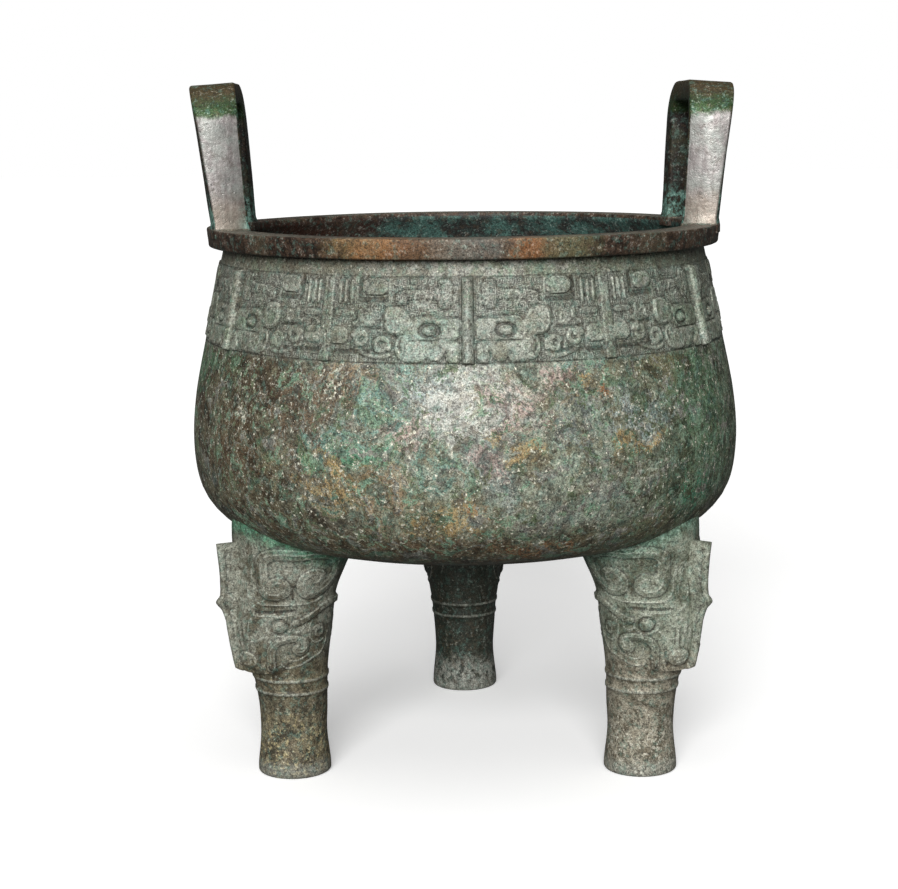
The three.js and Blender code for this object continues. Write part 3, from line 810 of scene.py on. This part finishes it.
def build_leg_flange(azimuth, seed):
    """The toothed flange on the snout: a plate with a rounded edge and hooks cut in its sides."""
    heights = np.concatenate([[163.5], np.linspace(165, 355, 64), [356.5]])
    out = np.interp(heights, *FLANGE_LINE.T)
    out = out + 0.5 * waver(np.stack([heights] * 3, -1), 40, seed + 6)
    half = LEG_FLANGE_THICKNESS / 2
    shares = np.array([0.0, 0.22, 0.4, 0.52, 0.64, 0.74, 0.84, 0.92, 0.97])
    left = FLANGE_ROOT + (out[:, None] - 1.5 - FLANGE_ROOT) * shares[None]
    side_up = np.broadcast_to(heights[:, None], left.shape)
    r = Relief(left, side_up)
    for low, high in FLANGE_BARS:
        middle = (low + high) / 2
        r.cut([(104, middle), (92, middle)], 1.2, 0.9)
    seam = np.linspace(182, 346, 30)
    r.cut(np.stack([np.interp(seam, heights, out) - 9, seam], 1), 1.0, 1.0)
    thick = half + r.height
    taper = smooth(heights, 161, 168)[:, None] * 0.3 + 0.7
    thick = thick * taper * (1 - 0.12 * shares[None])
    corner = out - 0.5
    parts = []
    for share, height in zip(left.T, thick.T):
        parts.append(np.stack([share, -height, heights], -1))
    lead = thick[:, -1]
    parts.append(np.stack([corner, -lead * 0.66, heights], -1))
    parts.append(np.stack([out, np.zeros_like(out), heights], -1))
    parts.append(np.stack([corner, lead * 0.66, heights], -1))
    for share, height in zip(left.T[::-1], thick.T[::-1]):
        parts.append(np.stack([share, height, heights], -1))
    points = np.stack(parts, 1)
    spin = np.array(Matrix.Rotation(LEG_MASK_TWIST, 3, "Z")).T
    pad = np.full((len(heights), 3), FAR)
    groove = np.concatenate([r.groove, pad, r.groove[:, ::-1]], 1)
    chart = np.stack([points[..., 0], points[..., 2], np.full(groove.shape, seed + 0.5)], -1)
    numbers = casting.grid(to_leg(points @ spin, azimuth), chart, groove=groove, edge=1.0,
                           leg=1.0)
    casting.skin(numbers)
    for ring, end in ((numbers[0][::-1], points[0]), (numbers[-1], points[-1])):
        casting.fan(ring, to_leg(end.mean(0) @ spin, azimuth), edge=1.0, leg=1.0)


for index, leg_turn in enumerate(LEG_TURNS):
    build_leg(math.radians(leg_turn), 50 + 10 * index)

ding = casting.build("ding_casting")

# ---------------------------------------------------------------- patina, with some light and shade painted in

PALETTE = {
    "grey_green": (0.235, 0.265, 0.205),
    "pale": (0.46, 0.46, 0.42),
    "stone": (0.35, 0.34, 0.29),
    "pink": (0.40, 0.30, 0.27),
    "teal": (0.13, 0.26, 0.215),
    "green": (0.085, 0.165, 0.09),
    "verdigris": (0.08, 0.27, 0.16),
    "slate": (0.19, 0.215, 0.205),
    "brown": (0.125, 0.082, 0.048),
    "umber": (0.06, 0.042, 0.027),
    "olive": (0.16, 0.145, 0.078),
    "ochre": (0.36, 0.25, 0.11),
    "orange": (0.30, 0.135, 0.055),
    "tan": (0.30, 0.215, 0.13),
    "mist": (0.34, 0.40, 0.39),
    "crust": (0.60, 0.58, 0.47),
    "dark": (0.022, 0.02, 0.016),
}


class Shader:
    """Builds a material's nodes; every value may be a number, a colour or another node's socket."""

    def __init__(self, name):
        self.material = bpy.data.materials.new(name)
        self.material.use_nodes = True
        self.tree = self.material.node_tree
        self.tree.nodes.clear()

    def node(self, kind, inputs=None, **settings):
        made = self.tree.nodes.new(kind)
        for key, value in settings.items():
            setattr(made, key, value)
        for key, value in (inputs or {}).items():
            socket = made.inputs[key]
            if isinstance(value, bpy.types.NodeSocket):
                self.tree.links.new(value, socket)
            elif isinstance(value, tuple) and len(value) == 3 and socket.type == "RGBA":
                socket.default_value = (*value, 1)
            else:
                socket.default_value = value
        return made

    def math(self, operation, a, b=0.0, c=0.0):
        return self.node("ShaderNodeMath", {0: a, 1: b, 2: c}, operation=operation).outputs[0]

    def times(self, a, b):
        return self.math("MULTIPLY", a, b)

    def add(self, a, b):
        return self.math("ADD", a, b)

    def minus(self, a, b):
        return self.math("SUBTRACT", a, b)

    def most(self, a, b):
        return self.math("MAXIMUM", a, b)

    def vector(self, operation, a, b=(0, 0, 0)):
        made = self.node("ShaderNodeVectorMath", {0: a, 1: b}, operation=operation)
        return made.outputs["Value" if operation in ("LENGTH", "DISTANCE") else "Vector"]

    def away(self, place, centre, size):
        """Distance from a centre, counted in the half sizes of what lies round it."""
        apart = self.vector("DIVIDE", self.vector("SUBTRACT", place, centre), size)
        return self.vector("LENGTH", apart)

    def step(self, value, low, high, start=0.0, end=1.0):
        """From start to end, smoothly, as the value goes from low to high."""
        inputs = {"Value": value, "From Min": low, "From Max": high, "To Min": start, "To Max": end}
        made = self.node("ShaderNodeMapRange", inputs, interpolation_type="SMOOTHSTEP")
        return made.outputs["Result"]

    def mix(self, share, a, b, blend="MIX"):
        inputs = {0: share, 6: a, 7: b}
        made = self.node("ShaderNodeMix", inputs, data_type="RGBA", blend_type=blend)
        return made.outputs[2]

    def noise(self, place, scale, detail=4.0, roughness=0.6, distortion=0.0):
        inputs = {"Vector": place, "Scale": scale, "Detail": detail, "Roughness": roughness,
                  "Distortion": distortion}
        return self.node("ShaderNodeTexNoise", inputs)

    def cells(self, place, scale):
        return self.node("ShaderNodeTexVoronoi", {"Vector": place, "Scale": scale})

    def mark(self, name, vector=False):
        made = self.node("ShaderNodeAttribute", attribute_name=name, attribute_type="GEOMETRY")
        return made.outputs["Vector" if vector else "Fac"]

    def parts(self, vector):
        return self.node("ShaderNodeSeparateXYZ", {0: vector}).outputs

    def join(self, x, y, z):
        return self.node("ShaderNodeCombineXYZ", {0: x, 1: y, 2: z}).outputs[0]


SCROLL_CELL = 11.5  # height of one square spiral, in millimetres
SCROLL_TURNS = 4.4  # rounds across a cell


def scroll_ground(s, chart):
    """Square spirals in rows, turned this way and that: 1 on the raised line, 0 between."""
    x, y, _ = s.parts(chart)
    wobble = s.noise(chart, 0.06, 2.0)
    slide = s.times(s.minus(wobble.outputs[0], 0.5), 9.0)
    scaled = s.join(s.math("DIVIDE", s.add(x, slide), SCROLL_CELL * 1.15),
                    s.math("DIVIDE", s.add(y, slide), SCROLL_CELL), 0.0)
    corner = s.vector("FLOOR", scaled)
    dice = s.node("ShaderNodeTexWhiteNoise", {"Vector": corner}, noise_dimensions="3D")
    flip_x, flip_y, _ = s.parts(dice.outputs["Color"])
    local = s.vector("SUBTRACT", s.vector("FRACTION", scaled), (0.5, 0.5, 0.0))
    lx, ly, _ = s.parts(local)
    sign_x = s.math("SIGN", s.minus(flip_x, 0.5))
    sign_y = s.math("SIGN", s.minus(flip_y, 0.5))
    lx = s.times(lx, sign_x)
    ly = s.times(ly, sign_y)
    reach = s.most(s.math("ABSOLUTE", lx), s.math("ABSOLUTE", ly))
    angle = s.math("DIVIDE", s.math("ARCTAN2", ly, lx), FULL_TURN)
    phase = s.math("FRACT", s.add(s.times(reach, SCROLL_TURNS), angle))
    away = s.math("ABSOLUTE", s.minus(phase, 0.5))
    return s.step(away, 0.16, 0.32)


def front_patch(x, z, wide, high):
    """Centre and half sizes of a patch on the front, by where it is seen from the front."""
    radius = float(bowl_radius(z / MM)) * MM
    y = -math.sqrt(radius * radius - x * x)
    return (x, y, z), (wide, wide * 1.3, high)


# x, z, half width, half height, colour and share of each patch on the front, in metres
PATCHES = [
    # left side: umber and red-brown, with teal islands and ochre below them
    (-0.290, 0.600, 0.075, 0.050, "umber", 0.85),
    (-0.215, 0.580, 0.075, 0.050, "brown", 0.8),
    (-0.330, 0.500, 0.060, 0.070, "brown", 0.7),
    (-0.185, 0.490, 0.080, 0.045, "ochre", 0.7),
    (-0.235, 0.520, 0.040, 0.050, "brown", 0.5),
    (-0.190, 0.540, 0.048, 0.032, "teal", 0.75),
    (-0.230, 0.500, 0.035, 0.020, "verdigris", 0.5),
    (-0.130, 0.515, 0.032, 0.026, "verdigris", 0.85),
    (-0.120, 0.572, 0.036, 0.034, "teal", 0.65),
    (-0.085, 0.548, 0.048, 0.032, "pink", 0.7),
    (-0.130, 0.475, 0.050, 0.030, "tan", 0.6),
    (-0.045, 0.500, 0.055, 0.036, "teal", 0.5),
    (-0.165, 0.610, 0.045, 0.026, "tan", 0.6),
    # middle: pale at the top, which is a painted highlight, then ochre and orange towards the bottom
    (0.000, 0.590, 0.075, 0.062, "pale", 0.8),
    (-0.060, 0.610, 0.045, 0.035, "mist", 0.6),
    (0.045, 0.590, 0.050, 0.050, "pink", 0.55),
    (0.120, 0.622, 0.028, 0.016, "pink", 0.9),
    (0.090, 0.590, 0.050, 0.045, "pink", 0.4),
    (0.075, 0.530, 0.040, 0.022, "ochre", 0.65),
    (0.035, 0.503, 0.026, 0.018, "pink", 0.7),
    (-0.030, 0.430, 0.050, 0.028, "ochre", 0.75),
    (0.015, 0.432, 0.028, 0.018, "orange", 0.55),
    (-0.110, 0.440, 0.060, 0.030, "tan", 0.5),
    (-0.040, 0.385, 0.110, 0.022, "brown", 0.7),
    (0.100, 0.372, 0.080, 0.014, "orange", 0.6),
    # right side: ochre and orange spots, a pale grey field, then green
    (0.148, 0.606, 0.026, 0.020, "ochre", 0.7),
    (0.193, 0.588, 0.017, 0.012, "orange", 0.95),
    (0.215, 0.600, 0.030, 0.020, "green", 0.4),
    (0.245, 0.560, 0.050, 0.034, "mist", 0.7),
    (0.238, 0.526, 0.040, 0.012, "ochre", 0.8),
    (0.150, 0.560, 0.045, 0.050, "slate", 0.6),
    (0.270, 0.615, 0.050, 0.030, "olive", 0.7),
    (0.330, 0.580, 0.060, 0.060, "green", 0.7),
    (0.350, 0.490, 0.055, 0.080, "green", 0.6),
    (0.320, 0.430, 0.050, 0.034, "verdigris", 0.6),
    (0.150, 0.460, 0.090, 0.040, "grey_green", 0.6),
    (0.230, 0.480, 0.060, 0.030, "umber", 0.35),
    (0.250, 0.400, 0.060, 0.022, "olive", 0.6),
    # neck
    (-0.340, 0.640, 0.045, 0.050, "green", 0.6),
    (0.140, 0.650, 0.060, 0.022, "teal", 0.6),
    (-0.085, 0.675, 0.075, 0.040, "teal", 0.6),
    (-0.280, 0.700, 0.060, 0.045, "green", 0.5),
    (0.280, 0.720, 0.070, 0.040, "green", 0.5),
    # the pale stretch across the front of the neck is a painted highlight
    (0.020, 0.765, 0.110, 0.016, "pale", 0.9),
    (-0.030, 0.730, 0.060, 0.025, "pink", 0.5),
    (0.070, 0.700, 0.050, 0.045, "stone", 0.6),
]

# cream crust in small clusters, mostly on the left: x, z, half width, half height and share
CRUSTS = [
    (-0.318, 0.550, 0.016, 0.030, 0.8),
    (-0.185, 0.598, 0.022, 0.024, 0.7),
    (-0.150, 0.628, 0.016, 0.012, 0.8),
    (-0.190, 0.545, 0.040, 0.026, 0.45),
    (-0.125, 0.518, 0.024, 0.012, 0.55),
    (-0.085, 0.540, 0.014, 0.020, 0.6),
    (-0.230, 0.480, 0.040, 0.020, 0.3),
    (0.120, 0.470, 0.110, 0.030, 0.30),
    (0.240, 0.560, 0.050, 0.035, 0.40),
    (0.020, 0.500, 0.100, 0.020, 0.25),
    (-0.240, 0.430, 0.070, 0.026, 0.25),
]

# x, half width, colour and share of each patch on the front of the rim
RIM_PATCHES = [
    (-0.150, 0.040, "ochre", 0.45),
    (-0.110, 0.050, "orange", 0.6),
    (-0.060, 0.040, "brown", 0.6),
    (0.000, 0.050, "stone", 0.30),
    (0.052, 0.018, "brown", 0.6),
    (0.080, 0.022, "orange", 0.75),
    (0.135, 0.045, "olive", 0.8),
]


def scattered_patches():
    """The sides and back carry the same patina as the front, spread by chance."""
    generator = np.random.default_rng(7)
    colours = ["brown", "teal", "green", "slate", "ochre", "umber", "stone", "verdigris", "olive"]
    made = []
    for index in range(22):
        angle = math.radians(generator.uniform(-20, 200))
        z = generator.uniform(0.38, 0.74)
        radius = float(bowl_radius(z / MM)) * MM
        wide = generator.uniform(0.04, 0.11)
        size = (wide, wide, wide * generator.uniform(0.45, 0.9))
        place = (radius * math.cos(angle), radius * math.sin(angle), z)
        made.append((place, size, colours[index % len(colours)], generator.uniform(0.4, 0.7)))
    return made


def patina():
    s = Shader("bronze_patina_and_painted_light")
    place = s.node("ShaderNodeTexCoord").outputs["Object"]
    px, py, pz = s.parts(place)
    inner = s.mark("inner")
    edge = s.mark("edge")
    groove = s.mark("groove")
    thread = s.mark("thread")
    ground = s.mark("ground")
    chart = s.mark("chart", vector=True)

    broad = s.noise(place, 6.0, 5.0, 0.6, 0.4).outputs[0]
    middle = s.noise(place, 24.0, 5.5, 0.72, 0.3).outputs[0]
    mottle = s.noise(place, 75.0, 4.0, 0.72).outputs[0]
    grain = s.noise(place, 210.0, 2.5, 0.8).outputs[0]
    dust = s.noise(place, 520.0, 2.0, 0.8).outputs[0]
    ragged = s.noise(place, 38.0, 5.0, 0.78).outputs[0]
    other = s.noise(s.vector("ADD", place, (3.1, 1.7, 0.4)), 95.0, 3.5, 0.75).outputs[0]
    shift = s.vector("SUBTRACT", s.noise(place, 13.0, 5.0, 0.6).outputs["Color"], (0.5, 0.5, 0.5))
    shift = s.vector("MULTIPLY", shift, (0.12, 0.12, 0.12))
    warped = s.vector("ADD", place, shift)
    fray = s.times(s.minus(ragged, 0.5), 2.4)
    # three independent fields of crumbs, spread evenly from 0 to 1, that patches break up into
    crumbs = []
    for index in range(3):
        moved = s.vector("ADD", warped, (1.3 * index, 2.1 * index, 0.7 * index))
        crumb = s.noise(moved, 34.0, 5.0, 0.74).outputs[0]
        crumbs.append(s.step(crumb, 0.36, 0.64))

    def patch(centre, size):
        return s.step(s.add(s.away(warped, centre, size), fray), 1.5, 0.5)

    def crumble(centre, size, share, index):
        """A patch that is whole in its middle and breaks into crumbs towards its edge."""
        cover = s.step(s.away(warped, centre, size), 1.75, 0.25, 0.0, share)
        return s.step(s.add(cover, crumbs[index % 3]), 0.78, 1.24)

    # the bowl: grey-green at the front, darker olive and green round the sides and back. The lighter
    # front and darker sides are partly patina and partly painted light and shade, falling off from
    # the front round to the sides
    from_front = s.away(warped, (0.02, -0.40, 0.56), (0.27, 0.30, 0.21))
    rubbed_and_lit_front = s.step(s.add(from_front, s.times(fray, 0.25)), 1.25, 0.65)
    greener = s.step(s.add(px, s.times(fray, 0.06)), -0.12, 0.22)
    side_light = s.mix(greener, (0.135, 0.125, 0.080), (0.125, 0.165, 0.110))
    side_dark = s.mix(greener, (0.066, 0.048, 0.028), (0.052, 0.068, 0.038))
    side_tone = s.mix(s.step(middle, 0.42, 0.58), side_dark, side_light)
    front_tone = s.mix(s.step(middle, 0.42, 0.58), (0.155, 0.145, 0.095), PALETTE["grey_green"])
    front_tone = s.mix(s.times(s.step(broad, 0.50, 0.62), 0.6), front_tone, PALETTE["slate"])
    colour = s.mix(rubbed_and_lit_front, side_tone, front_tone)
    # darker and browner towards the bottom
    below = s.step(s.add(pz, s.times(fray, 0.03)), 0.44, 0.37)
    colour = s.mix(s.times(below, 0.75), colour, s.mix(s.step(mottle, 0.42, 0.58),
                   (0.062, 0.046, 0.026), (0.165, 0.125, 0.070)))
    patches = [(*front_patch(*row[:4]), *row[4:]) for row in PATCHES]
    for index, (centre, size, name, share) in enumerate(patches + scattered_patches()):
        colour = s.mix(s.times(crumble(centre, size, share, index), 0.80), colour, PALETTE[name])
    # cloudy dark pitting over all of it
    cloud = s.noise(s.vector("MULTIPLY", warped, (1.0, 1.0, 0.7)), 52.0, 4.5, 0.72).outputs[0]
    colour = s.mix(1.0, colour, s.step(cloud, 0.37, 0.58, 0.52, 1.26), "MULTIPLY")
    flakes = s.noise(place, 150.0, 3.0, 0.7).outputs[0]
    for *row, share in CRUSTS:
        centre, size = front_patch(*row)
        cover = s.step(s.away(warped, centre, size), 1.6, 0.2, 0.0, share * 0.16)
        crusted = s.step(s.add(flakes, cover), 0.62, 0.72)
        colour = s.mix(crusted, colour, PALETTE["crust"])
    # darkest on the underside: painted shade under the belly
    under = s.step(s.add(pz, s.times(fray, 0.006)), 0.366, 0.336)
    colour = s.mix(s.times(under, 0.8), colour, (0.045, 0.034, 0.022))

    # neck band: paler and more even than the belly
    band = s.times(s.step(pz, 0.632, 0.646), s.step(pz, 0.764, 0.752))
    neck_tone = s.mix(s.step(middle, 0.38, 0.62), (0.20, 0.225, 0.175), (0.37, 0.39, 0.34))
    colour = s.mix(s.times(band, 0.55), colour, neck_tone)
    strip = s.times(s.step(pz, 0.752, 0.762), s.step(pz, 0.778, 0.772))
    colour = s.mix(s.times(strip, 0.5), colour, (0.24, 0.24, 0.19))

    # rim: dark reddish brown, rubbed to orange and stone in places
    rim = s.times(s.step(pz, 0.774, 0.777), s.step(pz, 0.8085, 0.8075))
    rubbed = s.noise(s.join(px, py, 0.0), 9.0, 3.0, 0.6).outputs[0]
    rim_colour = s.mix(s.step(mottle, 0.40, 0.60), (0.020, 0.013, 0.009), (0.078, 0.046, 0.031))
    rim_colour = s.mix(s.times(s.step(rubbed, 0.54, 0.66), 0.5), rim_colour, (0.12, 0.10, 0.065))
    for x, wide, name, share in RIM_PATCHES:
        place_on_rim = (x, -0.384, 0.79)
        rim_colour = s.mix(s.times(patch(place_on_rim, (wide, 0.07, 0.08)), share), rim_colour,
                           PALETTE[name])
    colour = s.mix(rim, colour, rim_colour)
    # the rim's top paler: worn edge, with a painted highlight
    lip = s.times(s.step(pz, 0.8055, 0.8065), rim)
    colour = s.mix(s.times(lip, 0.35), colour, (0.26, 0.25, 0.20))

    # inside: dark, with green and red-brown
    red_side = s.step(s.add(px, s.times(fray, 0.05)), -0.10, -0.20)
    damp = s.mix(s.step(middle, 0.42, 0.58), (0.028, 0.030, 0.028), (0.055, 0.115, 0.10))
    inner_colour = s.mix(s.times(red_side, 0.8), damp, (0.060, 0.018, 0.010))
    colour = s.mix(s.step(inner, 0.3, 0.7), colour, inner_colour)

    # handles: pale grey on the flat front and back faces, worn bare metal with a painted reflection
    # of the frontal light; dark inside the loop, green and brown on top
    normal = s.parts(s.node("ShaderNodeNewGeometry").outputs["Normal"])
    handles = s.step(pz, 0.8075, 0.809)
    outward = s.times(normal[1], s.math("SIGN", py))
    facing = s.step(outward, 0.80, 0.92)
    brushed = s.noise(s.vector("MULTIPLY", place, (1.0, 1.0, 0.16)), 130.0, 5.0, 0.6).outputs[0]
    # the pale faces: worn metal, with a painted reflection of the frontal light
    bare = s.mix(s.step(brushed, 0.36, 0.64), (0.23, 0.205, 0.20), (0.37, 0.35, 0.335))
    bare = s.mix(s.times(s.step(middle, 0.44, 0.60), 0.5), bare, (0.29, 0.32, 0.29))
    bare = s.mix(s.times(s.step(cloud, 0.46, 0.38), 0.5), bare, (0.16, 0.14, 0.125))
    bare = s.mix(s.times(s.step(pz, 0.87, 0.83), 0.5), bare, (0.30, 0.24, 0.175))
    hidden = s.mix(s.step(middle, 0.42, 0.60), (0.018, 0.013, 0.010), (0.042, 0.042, 0.024))
    hidden = s.mix(s.times(s.step(pz, 0.865, 0.84), s.step(mottle, 0.42, 0.55)), hidden,
                   PALETTE["teal"])
    handle_colour = s.mix(facing, hidden, bare)
    uneven_z = s.add(pz, s.times(s.minus(middle, 0.5), 0.03))
    crown = s.step(uneven_z, 0.963, 0.972)
    crown_colour = s.mix(s.step(uneven_z, 0.982, 1.004), (0.030, 0.062, 0.020),
                         (0.058, 0.042, 0.016))
    handle_colour = s.mix(crown, handle_colour, crown_colour)
    colour = s.mix(handles, colour, handle_colour)

    # legs: green under the bowl, grey-green mask, browner snout and shaft, crust at the foot
    legs = s.mark("leg")
    right_leg = s.step(px, -0.05, 0.05)
    leg_dark = s.mix(right_leg, (0.105, 0.10, 0.070), (0.12, 0.135, 0.095))
    leg_light = s.mix(right_leg, (0.26, 0.265, 0.215), (0.30, 0.325, 0.255))
    leg_colour = s.mix(s.step(middle, 0.40, 0.58), leg_dark, leg_light)
    join = s.step(s.add(s.mark("joint"), s.times(fray, 5.0)), 34.0, 8.0)
    join_light = s.mix(right_leg, PALETTE["verdigris"], (0.20, 0.34, 0.25))
    leg_colour = s.mix(s.times(join, 0.8), leg_colour, s.mix(s.step(mottle, 0.4, 0.6),
                       (0.05, 0.11, 0.07), join_light))
    lower = s.step(uneven_z, 0.215, 0.165)
    shaft_dark = s.mix(right_leg, (0.040, 0.034, 0.020), (0.115, 0.10, 0.070))
    shaft_light = s.mix(right_leg, (0.19, 0.165, 0.105), (0.34, 0.31, 0.24))
    lower_colour = s.mix(s.step(cloud, 0.40, 0.58), shaft_dark, shaft_light)
    leg_colour = s.mix(s.times(lower, 0.9), leg_colour, lower_colour)
    flecks = s.times(s.step(flakes, 0.545, 0.60), s.step(uneven_z, 0.13, 0.06))
    leg_colour = s.mix(s.times(flecks, 0.7), leg_colour, s.mix(right_leg, (0.45, 0.38, 0.20),
                       (0.55, 0.52, 0.43)))
    # the back leg darker all over: partly dark patina and partly painted shade
    back_leg = s.step(py, 0.1, 0.2)
    leg_colour = s.mix(s.times(back_leg, 0.85), leg_colour, (0.022, 0.032, 0.024))
    crust = s.times(s.step(uneven_z, 0.07, 0.03), s.step(mottle, 0.38, 0.54))
    crust = s.most(s.times(crust, back_leg), s.times(s.step(uneven_z, 0.03, 0.01), 0.6))
    leg_colour = s.mix(s.times(crust, 0.7), leg_colour, (0.40, 0.41, 0.36))
    colour = s.mix(legs, colour, leg_colour)

    # carving: dark dirt with painted shade in hollows and lines; pale edges and threads, partly
    # rubbed and partly a painted highlight
    scrolls = scroll_ground(s, chart)
    # the scroll ground: darker between its raised lines, dirt with painted shade, and paler on them,
    # partly a painted highlight
    on_ground = s.times(ground, s.step(middle, 0.30, 0.45, 0.35, 1.0))
    dark_line = s.times(on_ground, s.minus(1.0, scrolls))
    colour = s.mix(s.times(dark_line, 0.55), colour, s.mix(0.78, colour, PALETTE["dark"]))
    colour = s.mix(s.times(s.times(on_ground, scrolls), 0.22), colour, PALETTE["pale"])
    # darker at the foot of raised forms and in cut lines: dirt with painted shade
    hollow = s.times(s.step(edge, -4.0, -0.6), s.step(edge, 0.7, -0.3))
    in_groove = s.step(groove, 2.2, 0.4)
    dirt_and_shade = s.most(s.times(hollow, 0.75), in_groove)
    dirt_and_shade = s.times(dirt_and_shade, s.step(mottle, 0.30, 0.46, 0.45, 1.0))
    colour = s.mix(s.times(dirt_and_shade, 0.72), colour, PALETTE["dark"])
    # paler just inside the edges of raised forms and on threads: wear with a painted highlight
    worn_and_lit_edge = s.times(s.step(edge, 0.1, 0.9), s.step(edge, 3.0, 1.4))
    on_thread = s.step(thread, 2.0, 0.5)
    light = s.most(s.times(worn_and_lit_edge, 0.45), on_thread)
    light = s.times(light, s.step(mottle, 0.36, 0.54, 0.35, 1.0))
    colour = s.mix(s.times(light, 0.55), colour, (0.46, 0.48, 0.41))

    # speckle over everything but the pale bare metal on the handles' faces, whose paleness is partly
    # a painted reflection
    plain = s.times(handles, s.times(facing, s.minus(1.0, crown)))
    loud = s.minus(1.0, s.times(plain, 0.75))
    for low, high, name in ((0.53, 0.62, "teal"), (0.46, 0.37, "brown")):
        share = s.times(s.step(other, low, high, 0.0, 0.30), loud)
        colour = s.mix(share, colour, PALETTE[name])
    colour = s.mix(s.times(s.step(grain, 0.48, 0.36, 0.0, 0.85), loud), colour,
                   s.mix(0.75, colour, PALETTE["dark"]))
    specks = s.times(s.step(grain, 0.54, 0.64), s.step(mottle, 0.44, 0.60))
    brighter = s.mix(0.5, s.mix(1.0, colour, (2.2, 2.2, 2.2), "MULTIPLY"), (0.50, 0.52, 0.47))
    colour = s.mix(s.times(s.times(specks, 0.65), loud), colour, brighter)
    tint = s.mix(s.step(dust, 0.38, 0.62), (0.62, 0.62, 0.62), (1.40, 1.40, 1.38))
    colour = s.mix(loud, colour, s.mix(1.0, colour, tint, "MULTIPLY"))

    # surface: pits, casting grain and the fine scrolls
    height = s.times(grain, 0.5)
    height = s.add(height, s.times(mottle, 1.1))
    pits = s.step(s.cells(place, 120.0).outputs["Distance"], 0.24, 0.10)
    pits = s.times(pits, s.step(ragged, 0.50, 0.60))
    height = s.minus(height, s.times(pits, 0.8))
    height = s.add(height, s.times(s.times(ground, scrolls), 1.3))
    height = s.minus(height, s.times(s.step(groove, 2.0, 0.2), 0.9))
    height = s.add(height, s.times(on_thread, 0.7))
    bump = s.node("ShaderNodeBump", {"Strength": 0.75, "Distance": 0.0009, "Height": height})
    rough = s.step(mottle, 0.35, 0.65, 0.44, 0.66)
    rough = s.minus(rough, s.times(s.times(handles, facing), 0.10))
    metal = s.add(0.12, s.times(s.times(handles, facing), 0.35))
    surface = s.node("ShaderNodeBsdfPrincipled", {
        "Base Color": colour, "Roughness": rough, "Metallic": metal,
        "Specular IOR Level": 0.3,
        "Normal": bump.outputs[0],
    })
    output = s.node("ShaderNodeOutputMaterial")
    s.tree.links.new(surface.outputs[0], output.inputs[0])
    return s.material


ding.data.materials.append(patina())
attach(ding, "root")
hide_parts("ding")

# ---------------------------------------------------------------- studio


def plain_material(name, colour, roughness, glow):
    s = Shader(name)
    place = s.node("ShaderNodeTexCoord").outputs["Object"]
    cloud = s.noise(place, 1.5, 3.0, 0.5).outputs[0]
    shade = s.mix(s.step(cloud, 0.3, 0.7), tuple(c * 0.985 for c in colour), colour)
    surface = s.node("ShaderNodeBsdfPrincipled", {
        "Base Color": shade, "Roughness": roughness,
        "Emission Color": shade, "Emission Strength": glow,
    })
    output = s.node("ShaderNodeOutputMaterial")
    s.tree.links.new(surface.outputs[0], output.inputs[0])
    return s.material


FLOOR_HALF = 30.0
floor_mesh = bpy.data.meshes.new("floor")
floor_mesh.from_pydata(
    [(x * FLOOR_HALF, y * FLOOR_HALF, 0.0) for x, y in ((-1, -1), (1, -1), (1, 1), (-1, 1))],
    [], [(0, 1, 2, 3)],
)
floor = bpy.data.objects.new("floor", floor_mesh)
bpy.context.scene.collection.objects.link(floor)
floor_mesh.materials.append(plain_material("pale_floor", (0.93, 0.93, 0.925), 0.8, 0.38))
floor.visible_diffuse = False
floor.visible_glossy = False


def sun(name, azimuth, elevation, strength, softness):
    """Parallel light that comes from that side of the object and that height, in degrees."""
    light = bpy.data.lights.new(name, "SUN")
    light.energy = strength
    light.angle = math.radians(softness)
    thing = bpy.data.objects.new(name, light)
    turn, rise = math.radians(azimuth), math.radians(elevation)
    level = math.cos(rise)
    towards = Vector((math.cos(turn) * level, math.sin(turn) * level, math.sin(rise)))
    thing.rotation_euler = towards.to_track_quat("Z", "Y").to_euler()
    bpy.context.scene.collection.objects.link(thing)


sun("key", -97, 24, 3.6, 34)
sun("top", -90, 80, 0.95, 60)

# the camera sees a white room, and the object gets only a little light from it
ROOM_LIGHT = 0.09
world = bpy.data.worlds.new("studio")
bpy.context.scene.world = world
world.use_nodes = True
sky = world.node_tree
background = sky.nodes["Background"]
background.inputs["Color"].default_value = (1.0, 1.0, 1.0, 1)
path = sky.nodes.new("ShaderNodeLightPath")
strength = sky.nodes.new("ShaderNodeMapRange")
strength.inputs["To Min"].default_value = ROOM_LIGHT
strength.inputs["To Max"].default_value = 1.0
sky.links.new(path.outputs["Is Camera Ray"], strength.inputs["Value"])
sky.links.new(strength.outputs["Result"], background.inputs["Strength"])
scene = bpy.context.scene
scene.view_settings.view_transform = "Standard"
scene.view_settings.look = "None"

# ---------------------------------------------------------------- camera

SENSOR = 36.0
FOCAL_WIDTHS = 2.2153  # focal length over the picture's width
CAMERA_DISTANCE = 3.0271
CAMERA_HEIGHT = 0.9686
CAMERA_ASIDE = 0.01324  # how far the camera stands round to the left, in radians
CAMERA_HEADING = -0.0051
CAMERA_PITCH = 0.16424  # downward
CAMERA_ROLL = -0.01022

camera = bpy.data.cameras.new("camera")
camera.sensor_width = SENSOR
camera.lens = FOCAL_WIDTHS * SENSOR
camera.clip_end = 200
viewer = bpy.data.objects.new("camera", camera)
scene.collection.objects.link(viewer)
stand = Vector((
    -CAMERA_DISTANCE * math.sin(CAMERA_ASIDE),
    -CAMERA_DISTANCE * math.cos(CAMERA_ASIDE),
    CAMERA_HEIGHT,
))
viewer.matrix_world = (
    Matrix.Translation(stand)
    @ Matrix.Rotation(CAMERA_HEADING, 4, "Z")
    @ Matrix.Rotation(math.pi / 2 - CAMERA_PITCH, 4, "X")
    @ Matrix.Rotation(CAMERA_ROLL, 4, "Z")
)
scene.camera = viewer
